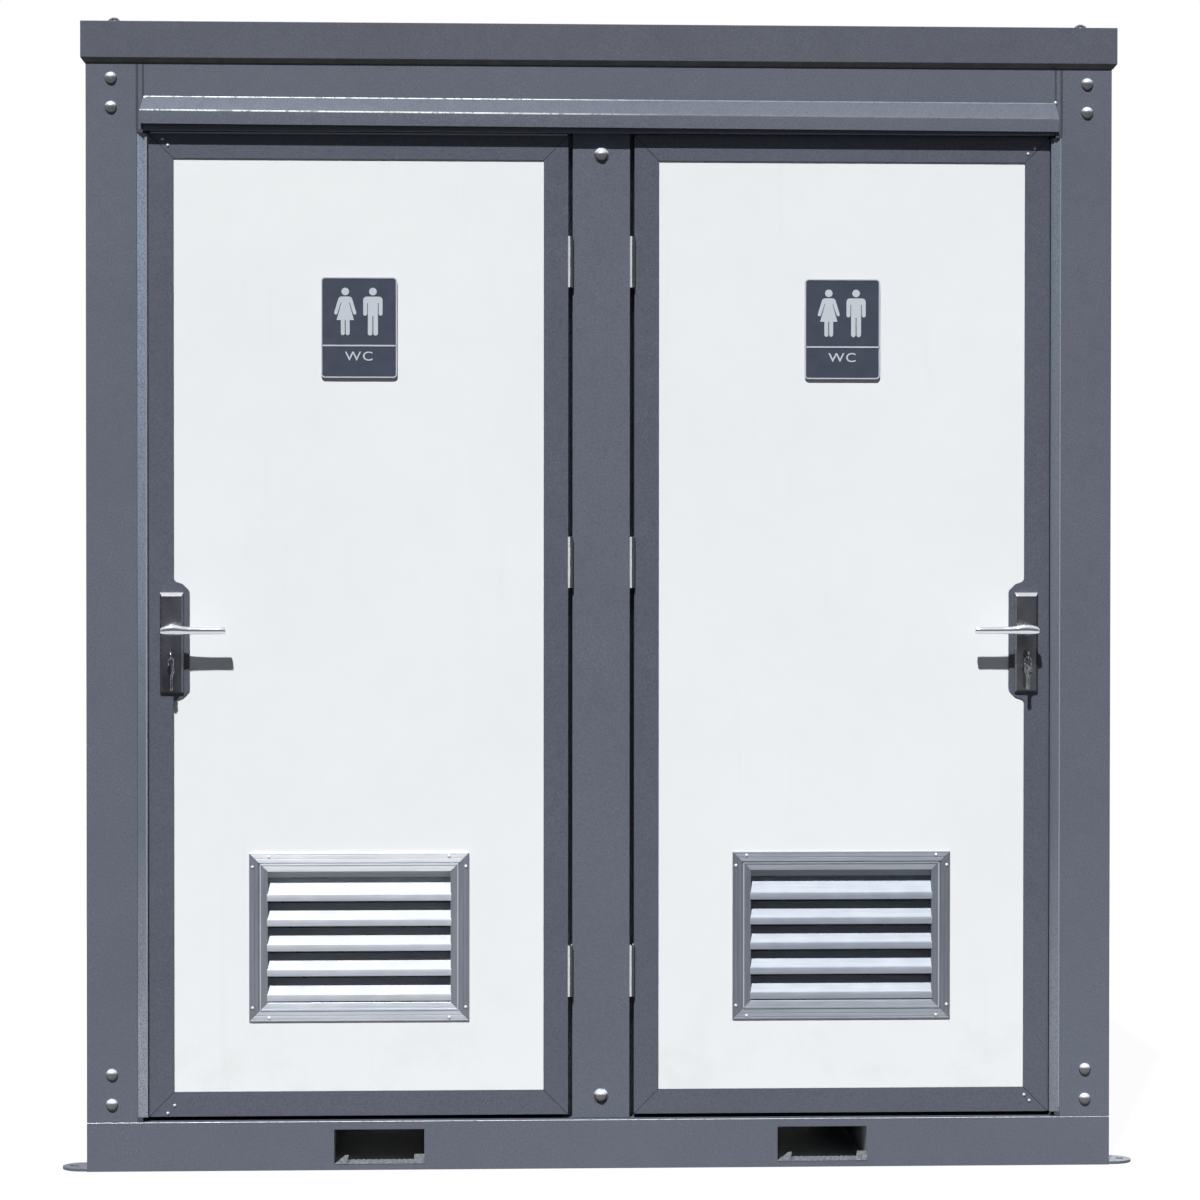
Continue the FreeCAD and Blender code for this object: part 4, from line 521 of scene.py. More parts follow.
# width and segments of the soft edges of each node that keeps its own form
softEdges = {
    "corner_posts": (2.2, 3), "mid_post": (2.5, 3), "top_frame": (1.6, 2), "lifting_eyes": (0.6, 2),
    "side_walls": (1, 2), "rear_wall": (1, 2), "partition_wall": (1, 2), "ceiling_panel": (1, 2),
    "floor_deck": (1, 2), "toilet_pans": (4, 3), "cisterns": (6, 3), "seat_hinges": (1, 2), "basins": (5, 3),
    "taps": (1.5, 3), "pipes": (1, 2), "mirrors": (1.5, 2), "ceiling_lamps": (14, 4), "fan_housings": (1, 2),
    "paper_holders": (0.8, 2), "power_inlet": (1.5, 2),
}
sideEdges = {
    "door_panel": (0.8, 2), "latch": (1, 2), "deadbolt": (1, 2), "seat": (5, 3), "lid": (4, 3),
    "flush_button": (1, 3), "tap_lever": (1.5, 3), "fan_impeller": (0.6, 2), "paper_roll": (1.5, 2),
    "key": (0.5, 2),
}
hingeSizes = {"soft": 0.4, "front": -629, "turn": -0.2}


# painted light: the knuckles are bright where they face the light and painted in shade beyond their middle
def hingePicker(centre, normal):
    return 1 if centre.y < hingeSizes["front"] and normal.x > hingeSizes["turn"] else 0


for node, (width, segments) in softEdges.items():
    dressed(node, width, segments)
for side, sign in sides:
    for node, (width, segments) in sideEdges.items():
        dressed(f"{side}_{node}", width, segments)
for node in ("post_hinge_leaves", "left_door_hinges", "right_door_hinges"):
    dressed(node, hingeSizes["soft"], 2, [finishes["hinge_steel"], hingeShade], hingePicker)
print("soft forms made")
jambSizes = {
    "soft": 0.8, "back": -635.5, "near": 926.5, "far": 946, "fore": 9, "aft": 4, "top": 2110, "lower": 5,
    "foot": 130, "higher": 9, "beads": ((943.4, 946.1, -649.6, -645), (-930.4, -926.7, -639.2, -633)),
    "beadLow": 119, "beadTop": 2117,
}


# the strips beside the doors slant from the posts' faces back to the doors, with a light bead on one edge;
# the bead's light colour is a painted highlight, and the strips carry painted light, the left painted lighter
# than the right and both lighter towards top and bottom
def doorJambs():
    size = jambSizes
    mats = [liningLitLeft, liningLitRight]
    thing = dressed("door_jambs", size["soft"], 2, mats, lambda centre, normal: int(centre.x > 0))
    for vert in thing.data.vertices:
        across, along, up = vert.co * 1000
        if along < size["back"] and abs(across) > size["near"] - 2:
            share = (abs(across) - size["near"]) / (size["far"] - size["near"])
            vert.co.y += (size["aft"] - share * (size["fore"] + size["aft"])) / 1000
            if up > size["top"]:
                vert.co.z -= size["lower"] / 1000
            elif up < size["foot"]:
                vert.co.z += size["higher"] / 1000
    made = Builder()
    for x1, x2, y1, y2 in size["beads"]:
        made.block(x1, x2, y1, y2, size["beadLow"], size["beadTop"])
    finished(softened(made.thing("beads"), 0.5), "jamb_beads", "cabin", "door_lining", beadHighlight)


doorJambs()
capSizes = {"soft": 1.2, "hemTop": 2269}


# the folded hem under the roof cap gets painted shade: its downward faces take a dark finish
def roofCap():
    def picker(centre, normal):
        return int(normal.z < -0.3 and centre.z < capSizes["hemTop"] + 2)

    dressed("roof_cap", capSizes["soft"], 3, [capCoat, paintedUnderShade], picker)


roofCap()
baseSizes = {
    "soft": 3.0, "top": 100, "front": -650, "pocketNear": 363, "pocketFar": 547, "pocketLow": 13,
    "pocketTop": 88, "proud": 0.8, "thick": 4, "lip": 8.5, "lipIn": 35, "lipFoot": 28, "tabIn": 21,
    "sunk": -0.5, "steps": 40,
    "leftTab": ((1.4, -0.5), (22, 17.5), (29.5, 18), (26, -0.5)),
    "rightTab": ((-22, -0.5), (-20, 19), (0.5, 19), (0.5, -0.5)),
}


# the base's top front edge carries a painted highlight, a bright glint in short dashes; the fork pockets are
# painted light inside to lift their shade, and keep their torch cut lips
def baseFrame():
    size = baseSizes

    def picker(centre, normal):
        if size["pocketNear"] - 6 < abs(centre.x) < size["pocketFar"] + 6 and centre.y > size["front"] + 5:
            return 2 if centre.z < size["pocketTop"] else 0
        edge = centre.z > size["top"] - 3 and centre.y < size["front"] + 3
        return 1 if edge and 0.2 < normal.z < 0.98 and normal.y < -0.2 else 0

    dressed("base_frame", size["soft"], 3, [finishes["frame_grey"], baseGlint, pocketFillLight], picker)
    made = Builder()
    low, front = size["pocketLow"], size["front"] - size["proud"]
    wide, steps = size["pocketFar"] - size["pocketNear"], size["steps"]
    for start in (-size["pocketFar"], size["pocketNear"]):
        lip = [(start + size["lipFoot"], low + size["sunk"])]
        for k in range(steps + 1):
            along = size["lipIn"] + (wide - size["lipIn"] - size["tabIn"]) * k / steps
            ragged = 0.8 * math.sin(k * 1.7) + 0.5 * math.sin(k * 4.1 + start)
            lip.append((start + along, low + size["lip"] + ragged))
        lip.append((start + wide - size["tabIn"], low + size["sunk"]))
        left = [(start + x, low + z) for x, z in size["leftTab"]]
        right = [(start + wide + x, low + z) for x, z in size["rightTab"]]
        for outline, proud in ((lip, 0), (left, 0.2), (right, 0.3)):
            made.prism(outline, front - proud, front + size["thick"])
    finished(softened(made.thing("pocketLips"), 0.5), "fork_pocket_lips", "cabin", "frame_grey", cutSteel)


baseFrame()
canopySizes = {
    "back": -650, "front": -659, "top": 2192, "knee": 2163, "low": 2135, "half": 940, "slant": 7,
    "bend": 1.5, "sheet": 1.6, "sag": {"top": 3, "knee": 7, "low": 6, "reach": 2.4},
}


# folded drip flashing with painted highlights (bright glints) on its sharp bends, a slope painted lighter
# towards the left, painted shade under it, and slanted ends; it sags to the right
def canopy():
    size = canopySizes
    back, front, knee, low, top = (size[key] for key in ("back", "front", "knee", "low", "top"))
    bend, sheet = size["bend"], size["sheet"]
    profile = [
        (back, top, 1), (back - 1.1, top - bend, 1), (back - 1.4, top - bend - 0.4, 2),
        (front + 0.6, knee + bend, 1), (front + 0.1, knee, 1), (front, knee - bend, 0),
        (front, low + 0.6, 0), (front + 0.6, low, 3), (front + sheet, low, 3),
        (front + sheet, knee - 2, 3), (back + 3, low + 12, 3), (back, low + 12, 0),
    ]
    made, rings, sag = Builder(), [], size["sag"]
    for end in (-1, 1):
        ring = []
        for y, z, number in profile:
            share = min(max((z - knee) / (top - knee), 0), 1)
            under = min(max((knee - z) / (knee - low), 0), 1)
            drop = sag["top"] * share + sag["low"] * under + sag["knee"] * (1 - share - under)
            if end > 0:  # the right end hangs a little lower and nearer
                y = max(y, front) + sag["reach"] * (1 - share)
                z -= drop
            ring.append((end * (size["half"] - size["slant"] * share), min(y, back), z))
        rings.append(ring)
    made.loft(rings, [number for y, z, number in profile])
    mats = [finishes["frame_grey"], bendGlint, slopeSheenCoat, paintedUnderShade]
    finished(made.thing("canopy", 12), "drip_canopy", "cabin", "frame_grey", mats, "canopy")


canopy()
seamSizes = {
    "proud": 0.15, "front": -650, "spans": (  # near, far, low, top and depth of each
        (943.4, 948.6, 2124, 2258, 3), (931.6, 935.8, 2124, 2258, 3), (934.2, 947.5, 2117.5, 2124.5, 7.5),
        (936, 947.5, 100.5, 111, 7.5)),
}


# flush filler over the joints of posts, cheeks and beam, in a darker coat that paints the shade line of each
# joint
def seamFiller():
    size, front, made = seamSizes, seamSizes["front"], Builder()
    for hand in (-1, 1):
        for near, far, low, top, thick in size["spans"]:
            made.block(hand * near, hand * far, front - size["proud"], front + thick, low, top)
    finished(made.thing("filler"), "seam_filler", "cabin", "frame_grey", seamShadeCoat)


seamFiller()
print("roof, base and canopy made")


# node tree that sets one shape on each point, turned by a chance angle
def setTree():
    tree = bpy.data.node_groups.new("setShapes", "GeometryNodeTree")
    inputs = {"Geometry": "Geometry", "Shape": "Object", "Size": "Float", "Turn": "Float", "Seed": "Int",
              "Finish": "Material"}
    for name, kind in inputs.items():
        tree.interface.new_socket(name=name, in_out="INPUT", socket_type="NodeSocket" + kind)
    tree.interface.new_socket(name="Geometry", in_out="OUTPUT", socket_type="NodeSocketGeometry")
    given = tree.nodes.new("NodeGroupInput").outputs
    source = newNode(tree, "GeometryNodeObjectInfo", {"Object": given["Shape"]})
    chance = newNode(tree, "FunctionNodeRandomValue", {"Seed": given["Seed"], 3: given["Turn"]})
    spin = newNode(tree, "ShaderNodeCombineXYZ", {"Y": chance.outputs[1]})
    spread = newNode(tree, "GeometryNodeInstanceOnPoints", {
        "Points": given["Geometry"], "Instance": source.outputs["Geometry"], "Rotation": spin.outputs[0],
        "Scale": given["Size"]})
    real = newNode(tree, "GeometryNodeRealizeInstances", {"Geometry": spread.outputs["Instances"]})
    paint = newNode(tree, "GeometryNodeSetMaterial", {
        "Geometry": real.outputs["Geometry"], "Material": given["Finish"]})
    newNode(tree, "NodeGroupOutput", {"Geometry": paint.outputs["Geometry"]})
    return tree


shapeTree = setTree()
patterns = []  # shapes that the node tree copies, deleted at the end


# copies of a shape on these points (mm), as one plain mesh
def setShapes(name, points, shape, bodyName, slotName, mat, seed=1, turn=6.283, nodes=()):
    mesh = bpy.data.meshes.new(name)
    mesh.from_pydata([Vector(point) / 1000 for point in points], [], [])
    thing = flat(mesh, name)
    grown = thing.modifiers.new("Shapes", "NODES")
    grown.node_group = shapeTree
    wanted = {"Shape": shape, "Size": 1.0, "Turn": turn, "Seed": seed, "Finish": mat}
    for item in shapeTree.interface.items_tree:
        if item.in_out == "INPUT" and item.name in wanted:
            grown[item.identifier] = wanted[item.name]
    applied(thing)
    return finished(thing, name, bodyName, slotName, mat, *nodes)


# a head on the origin from (radius, length) points, facing -Y if nothing else is said
def headShape(name, profile, count=32, heading=(0, -1, 0)):
    made = Builder()
    made.lathe(profile, (0, 0, 0), heading, count)
    thing = made.thing(name, 40)
    patterns.append(thing)
    return thing


dome = [
    (0.01, -2), (12.4, -2), (12.5, 0), (12.3, 1.2), (11.4, 3.2), (9.6, 5.2), (7, 6.8), (3.8, 7.7), (0.01, 8),
]
washer = [(0.01, -0.5), (15, -0.5), (15, 1.6), (14.6, 2)]
washer += [(radius, length + 2) for radius, length in dome[1:]]
rivet = [(0.01, -0.5), (2.6, -0.5), (2.6, 0.2), (2.1, 0.9), (1.2, 1.4), (0.01, 1.6)]
corner = [(0.01, -0.5), (3.4, -0.5), (3.4, 0.4), (2.9, 1.5), (1.9, 2.4), (0.01, 2.8)]
domeHead = headShape("domeHead", dome)
rearHead = headShape("rearHead", dome, 32, (0, 1, 0))
washerHead = headShape("washerHead", washer)
rivetHead = headShape("rivetHead", rivet, 12)
cornerHead = headShape("cornerHead", corner, 16)
boltSizes = {
    "x": 999, "rows": (2228, 2169, 198, 136.5), "face": 650, "middle": (-626, 2079, 146),
    "canopy": ((-930, -650, 2188.5), (933.4, -650, 2189.4)),
}


def bolts():
    size = boltSizes
    face = size["face"]
    places = [(hand * size["x"], row) for hand in (-1, 1) for row in size["rows"]]
    y, high, low = size["middle"]
    outer, inner = boltHighlightCoat("cornerBolts", size["rows"]), boltHighlightCoat("middleBolts", (high, low))
    fronts, rears = ([(x, y, z) for x, z in places] for y in (-face, face))
    setShapes("corner_bolts", fronts, domeHead, "cabin", "bolt_steel", outer, 3)
    setShapes("middle_bolts", [(0, y, high), (0, y, low)], washerHead, "cabin", "bolt_steel", inner, 4)
    setShapes("rear_bolts", rears, rearHead, "cabin", "bolt_steel", outer, 5, nodes=["frame_bolts"])
    setShapes("canopy_rivets", size["canopy"], cornerHead, "cabin", "bolt_steel", finishes["hinge_steel"], 9)


bolts()
print("bolts set")
wallSizes = {
    "face": 1038, "rear": 638, "wide": 36, "thick": 1.6, "sunk": 0.2, "low": 101, "top": 2238, "pitch": 158,
    "first": 40, "apart": 10, "joint": 316,
}


# cover strips over the panel joints of the side and rear walls, with their rivets
def wallStrips():
    size = wallSizes
    half, low, top, apart = size["wide"] / 2, size["low"], size["top"], size["apart"]
    side, rear = ((size[key] - size["sunk"], size[key] + size["thick"]) for key in ("face", "rear"))
    joints = (-size["joint"], size["joint"])
    made = Builder()
    for hand in (-1, 1):
        made.block(hand * side[0], hand * side[1], -half, half, low, top)
    for x in joints:
        made.block(x - half, x + half, *rear, low, top)
    finished(softened(made.thing("strips"), 0.7), "wall_cover_strips", "cabin", "frame_grey", capCoat)
    count = int((top - low) / size["pitch"])
    rows = [low + size["first"] + k * size["pitch"] for k in range(count + 1)]
    sets = []
    for name, hand in sides:
        sets.append((name, (hand, 0, 0), [(hand * side[1], y, z) for y in (-apart, apart) for z in rows]))
    across = [x + dx for x in joints for dx in (-apart, apart)]
    sets.append(("rear", (0, 1, 0), [(x, rear[1], z) for x in across for z in rows]))
    for name, heading, points in sets:
        head = headShape(name + "Rivet", rivet, 12, heading)
        setShapes(f"{name}_strip_rivets", points, head, "cabin", "bolt_steel", finishes["bolt_steel"], 6, 0.0)


wallStrips()
print("wall strips set")


# makes a piece for each door and reports it
def forBothDoors(make, words):
    for side, sign in sides:
        make(side, sign)
    print(words)


doorSizes = {
    "hinge": 68, "lock": 924, "low": 109, "top": 2118, "soft": 0.9, "mitreGap": 0.45, "face": -628,
    "seal": {"out": 925.9, "top": 2121.4, "near": -627, "far": -621},
    "leftRivets": ((885, 2094), (896, 2107), (873, 132), (887, 116)),
    "rightRivets": ((880, 2086), (894, 2098), (876, 143), (887, 131)),
}


# cuts a form by a plane, keeps the side away from the normal and closes it
def mitred(form, corner, normal):
    whole = form.verts[:] + form.edges[:] + form.faces[:]
    cut = bmesh.ops.bisect_plane(form, geom=whole, plane_co=corner, plane_no=normal, clear_outer=True)
    rim = [item for item in cut["geom_cut"] if isinstance(item, bmesh.types.BMEdge)]
    bmesh.ops.edgenet_fill(form, edges=rim)


# four bars cut on the mitre, each with its own soft edges, and the corner rivets
def doorFrame(side, sign):
    size = doorSizes
    low, top = size["low"] / 1000, size["top"] / 1000
    ends = sorted((sign * size["hinge"] / 1000, sign * size["lock"] / 1000))
    gap = size["mitreGap"] / 1000
    middle = Vector(((ends[0] + ends[1]) / 2, 0, (low + top) / 2))
    whole = bmesh.new()
    for across, upright in ((-1, 0), (1, 0), (0, -1), (0, 1)):
        form = nodeForm(f"{side}_door_frame")
        mitred(form, middle, Vector((-across, 0, -upright)))
        corners = [(cx, cz) for cx in (-1, 1) for cz in (-1, 1) if across * cx + upright * cz > 0]
        for cx, cz in corners:
            corner = Vector((ends[0] if cx < 0 else ends[1], 0, low if cz < 0 else top))
            away = Vector((-cx, 0, cz) if across else (cx, 0, -cz)).normalized()
            mitred(form, corner - away * gap, away)
        whole.from_mesh(meshOf(form, "bar"))
    thing = softened(flat(meshOf(whole, "doorFrame")), size["soft"])
    leaf = f"{side}_door_leaf"
    finished(thing, f"{side}_door_frame_bars", leaf, "frame_grey", doorCoat, f"{side}_door_frame")
    seal, made = size["seal"], Builder()
    hinge, lock, near, far = (sign * size["hinge"], sign * size["lock"], seal["near"], seal["far"])
    made.block(lock - sign * 0.5, sign * seal["out"], near, far, size["low"] + 1, size["top"] - 1)
    made.block(hinge + sign * 2, lock - sign * 2, near, far, size["top"] - 0.5, seal["top"])
    # painted light: the left door's edge seal is pale so it reads light in the jamb's shade, while the right
    # seal takes the door coat
    finished(made.thing("seal"), f"{side}_edge_seal", leaf, "frame_grey", signLight if sign < 0 else doorCoat)
    points = [(sign * x, size["face"], z) for x, z in size[f"{side}Rivets"]]
    setShapes(f"{side}_frame_rivets", points, cornerHead, leaf, "bolt_steel", rivetCoat, 8)


forBothDoors(doorFrame, "door frames made")
signSizes = {
    "wide": 155, "high": 205.5, "round": 8, "rim": 2.4, "raise": 0.9, "z": 1724, "x": 496, "front": -630.2,
    "back": -625, "line": -37, "lineHigh": 3.0, "apart": 56.4, "figureTop": 73.3, "head": 7.8,
    "lettersDown": 67.5, "lettersWide": 1.2,
    "letters": {"body": "WC", "size": 0.0262, "extrude": 0.0004, "bevel_depth": 0.00012, "align_x": "CENTER",
                "space_character": 1.15},
}


# half outlines of the two figures, from the neck round to the crotch, below the head's centre
def figure(kind):
    if kind == "man":
        half = [(0, -10.2), (12.5, -10.2), *arc(12.5, -17.5, 7.3, 80, 0, 6), (19.8, -45.2),
                *arc(15.75, -45.2, 4.05, -20, -160, 6), (11.7, -45.2), (11.7, -23.4), (10.3, -23.4),
                (10.3, -85.2), *arc(5.6, -85.2, 4.7, -15, -165, 6), (0.9, -85.2), (0.9, -50)]
    else:
        half = [(0, -10.2), (7.5, -10.2), *arc(7.5, -17.2, 7.0, 80, 20, 5), (22.2, -41.6),
                *arc(19.2, -43.6, 3.5, 10, -150, 6), (8.6, -21.4), (7.8, -22.6), (17.8, -58.4), (9.0, -58.4),
                (9.0, -85.2), *arc(4.95, -85.2, 4.05, -15, -165, 6), (0.9, -85.2), (0.9, -58.4)]
    return half + [(-x, z) for x, z in reversed(half) if x > 0.01]


def signFor(side, sign):
    size = signSizes
    x, z, front = sign * size["x"], size["z"], size["front"]
    half, tall, rim = size["wide"] / 2, size["high"] / 2, size["rim"]
    lift, sunk = front - size["raise"], front + 0.1
    outer = roundedRect(x - half, x + half, z - tall, z + tall, size["round"])
    inner = roundedRect(x - half + rim, x + half - rim, z - tall + rim, z + tall - rim, size["round"] - rim)
    made = Builder()
    made.prism(outer, front, size["back"])
    turns = ((outer, sunk), (outer, lift), (inner, lift), (inner, sunk), (outer, sunk))
    made.loft([[(px, y, pz) for px, pz in line] for line, y in turns], 1, False)
    middle, thin = z + size["line"], size["lineHigh"] / 2
    made.block(x - half + 1, x + half - 1, lift, sunk, middle - thin, middle + thin, 1)
    top = z + size["figureTop"]
    for kind, place in (("woman", x - size["apart"] / 2), ("man", x + size["apart"] / 2)):
        made.prism(arc(place, top, size["head"], 0, 345, 23), lift, sunk, 1)
        made.prism([(place + px, top + pz) for px, pz in figure(kind)], lift, sunk, 1)
    leaf = f"{side}_door_leaf"
    mats = [finishes["sign_plate"], signLight]
    finished(made.thing("sign"), f"{side}_sign", leaf, "sign_plate", mats, f"{side}_door_sign")
    # generic letters under the figures
    letters = flat(withSettings(bpy.data.curves.new("word", "FONT"), **size["letters"]), "word")
    mesh = evaluated(letters)
    bpy.data.objects.remove(letters)
    place = Matrix.Translation(Vector((x, front - 0.4, z - size["lettersDown"])) / 1000)
    wider = Matrix.Diagonal((size["lettersWide"], 1, 1, 1))
    mesh.transform(place @ Matrix.Rotation(math.radians(90), 4, "X") @ wider)
    shade(mesh, 35)
    finished(flat(mesh, "word"), f"{side}_sign_word", leaf, "sign_plate", signLight)


forBothDoors(signFor, "signs made")
ventSizes = {
    "x": 496, "wide": 450, "high": 345, "low": 303, "face": -629, "opening": 38, "mitreGap": 0.25, "bead": 15,
    "profile": (  # inset from the outer edge and depth behind the face, round a rail
        (0.8, 4), (0, 3.4), (0, 0.8), (0.8, 0), (3.2, 0), (3.6, 0.6), (4.4, 0.6), (4.8, 0), (10.5, 0),
        (11, 0.7), (12.1, 0.7), (12.6, 0), (19.4, 0), (19.6, 3.2), (21.4, 3.2), (21.7, 0.3), (24.6, 0.3),
        (25.2, 1.8), (30, 2.4), (37, 3.2), (38, 3.8), (38, 46), (35, 46), (35, 4.2),
    ),
    "strip": 14, "stripHigh": 13, "screwAlong": {"left": 41, "right": 29}, "screwDown": 28, "screwIn": 7,
    "slats": 5, "pitch": 51.4, "first": 2.4, "fore": 1.6, "past": 1.5, "lip": 14.7, "rise": 31, "deep": 30,
    "thick": 1.6,
}


# four mitred rails with grooved flange and sloped inner band, screws, and slats set by the node tree
def ventFor(side, sign):
    size = ventSizes
    x, low, face, opening = sign * size["x"], size["low"], size["face"], size["opening"]
    half, top = size["wide"] / 2, size["low"] + size["high"]
    leaf = f"{side}_door_leaf"
    made = Builder()
    corners = [(x - half, low, 1, 1), (x + half, low, -1, 1), (x + half, top, -1, -1), (x - half, top, 1, -1)]
    for k, first in enumerate(corners):
        last = corners[(k + 1) % 4]
        along = Vector((last[0] - first[0], last[1] - first[1])).normalized() * size["mitreGap"]
        rings = []
        for (cx, cz, inX, inZ), push in ((first, along), (last, -along)):
            rings.append([(cx + inset * inX + push.x, face + depth, cz + inset * inZ + push.y)
                          for inset, depth in size["profile"]])
        numbers = [(0, 1, 2, 1)[k]] * len(size["profile"])
        if k % 2:
            numbers[size["bead"]] = 3
        made.loft(rings, numbers)
    strip = face + size["strip"]
    made.block(x - half + opening, x + half - opening, strip, strip + 1, top - opening - size["stripHigh"],
               top - opening + 1)
    # painted light: rails and slats take lit or shaded tones by part and by side, and a painted highlight
    # along the uprights' bead
    mats = [ventLitCoats[side, part] for part in ("lower", "upright", "upper")] + [ventBeadHighlight]
    finished(made.thing("vent", 25), f"{side}_vent_rails", leaf, "vent_aluminium", mats, f"{side}_door_vent")
    reach, deep, thick, lip = half - opening + size["past"], size["deep"], size["thick"], size["lip"]
    tip = lip + size["rise"]
    sections = {  # a slat is a folded strip: a lip, and a slope that rises behind it
        "lip": [(0.8, 0), (0, 1.2), (0, lip - 1.4), (0.5, lip - 0.4), (1.4, lip + 0.2),
                (2.4, lip - thick * 0.9), (thick, lip - 2.6), (thick, 1.2), (1.2, 0)],
        "slope": [(1.4, lip + 0.2), (deep, tip), (deep, tip - thick * 1.3), (2.4, lip - thick * 0.9)],
    }
    first = low + opening + size["first"]
    points = [(x, face + size["fore"], first + k * size["pitch"]) for k in range(size["slats"])]
    for kind, section in sections.items():
        made = Builder()
        made.loft([[(end, y, z) for y, z in section] for end in (-reach, reach)])
        slat = made.thing(kind, 28)
        patterns.append(slat)
        setShapes(f"{side}_vent_{kind}s", points, slat, leaf, "vent_aluminium", ventLitCoats[side, kind], 1, 0.0)
    middle, tall, edge = (low + top) / 2, size["high"] / 2, size["screwIn"]
    screws = []
    for dx in (-1, 1):
        for dz in (-1, 1):
            screws.append((x + dx * (half - size["screwAlong"][side]), face, middle + dz * (tall - edge)))
            screws.append((x + dx * (half - edge), face, middle + dz * (tall - size["screwDown"])))
    setShapes(f"{side}_vent_screws", screws, cornerHead, leaf, "bolt_steel", finishes["hinge_steel"], 7)


forBothDoors(ventFor, "vents made")
lockSizes = {
    "x": 878, "plateFace": -636, "lever": 1105, "arm": -678, "innerArm": -516, "caseBack": -558, "high": 15,
    "thick": 18, "soft": 0.8, "plateBack": -600, "plateTop": 1182, "broader": 3.4, "spindle": 4.5,
    "slanted": 105, "slant": 0.12,
    "rose": [(11.6, 0.4), (11.6, 2.2), (11, 3.2), (10.2, 4.2), (9.4, 9), (8.6, 18)],
    "neck": ((8.4, -12), (9.6, -5), (8.6, 0)),  # radius, and length from the arm's middle
    "stations": (  # along the arm, thickness and height as shares, lift in mm
        (-20.6, 0.5, 0.6, 0), (-19.8, 0.82, 0.9, 0), (-16, 1, 1.12, 0.4), (-6, 1.1, 1.4, 1.6),
        (4, 1.12, 1.5, 2.2), (14, 1.08, 1.42, 1.8), (24, 1, 1.2, 0.8), (38, 0.92, 1.06, 0.2),
        (70, 0.86, 0.98, 0), (100, 0.86, 0.96, 0), (109.5, 0.86, 0.96, 0), (111.4, 0.78, 0.86, 0),
        (112, 0.5, 0.6, 0),
    ),
}


# a soft oval section across X
def ovalRing(x, y, z, thick, high, count=20, power=2.6):
    made = []
    for k in range(count):
        c, s = math.cos(2 * math.pi * k / count), math.sin(2 * math.pi * k / count)
        made.append((x, y + thick / 2 * math.copysign(abs(c) ** (2 / power), c),
                     z + high / 2 * math.copysign(abs(s) ** (2 / power), s)))
    return made


# both arms swell at the heel and end slightly slanted; the plates are dark mirrors with bright bevels,
# painted by facing: a dark front with painted reflection clouds, mid-grey side bevels painted as half shade,
# and painted shade on the lower bevel
def leverFor(side, sign):
    size = lockSizes
    axisX, z = sign * size["x"], size["lever"]
    made = Builder()
    for arm, root, heading in ((size["arm"], size["plateFace"], -1), (size["innerArm"], size["caseBack"], 1)):
        rings = []
        for along, thick, high, lift in size["stations"]:
            ring = ovalRing(axisX - sign * along, arm, z + lift, size["thick"] * thick, size["high"] * high)
            if along > size["slanted"]:
                ring = [(px + sign * (pz - z) * size["slant"], py, pz) for px, py, pz in ring]
            rings.append(ring)
        made.loft(rings)
        neck = [(radius, abs(arm - root) + length) for radius, length in size["neck"]]
        made.lathe(size["rose"] + neck, (axisX, root, z), (0, heading, 0), 28)
    spindle = [(size["spindle"], 0), (size["spindle"], size["caseBack"] - size["plateFace"])]
    made.lathe(spindle, (axisX, size["plateFace"], z), (0, 1, 0), 16)
    chrome = finishes["lock_chrome"]
    finished(made.thing("lever", 50), f"{side}_lever_handle", f"{side}_lever", "lock_chrome", chrome,
             f"{side}_lever")

    def picker(centre, normal):
        if centre.y > size["plateBack"] or normal.z > 0.3:
            return 0
        if normal.z < -0.3:
            return 3
        return 1 if normal.y < -0.985 else 2

    thing = dressed(f"{side}_lock_body", size["soft"], 1, [chrome, plateChrome, plateSideShade, paintedUnderShade], picker)
    for vert in thing.data.vertices:  # the upper bevel is the broad one
        if vert.co.y * 1000 < size["plateFace"] + 0.8 and vert.co.z * 1000 > size["plateTop"] - 12:
            vert.co.z -= size["broader"] / 1000


forBothDoors(leverFor, "levers and plates made")
keySizes = {
    "x": 878, "y": -660.8, "top": 1051.1, "radius": 11, "wire": 1.0, "apart": 3.5, "thick": 2.1, "bow": 10,
    "hole": 3.2, "long": 52, "half": 3.4, "turn": 32, "cuts": (0.4, 1.6, 0.8, 2.0, 1.2, 0.5), "neck": 12,
    "first": 15, "land": 2, "pitch": 4, "shoulder": 38,
}


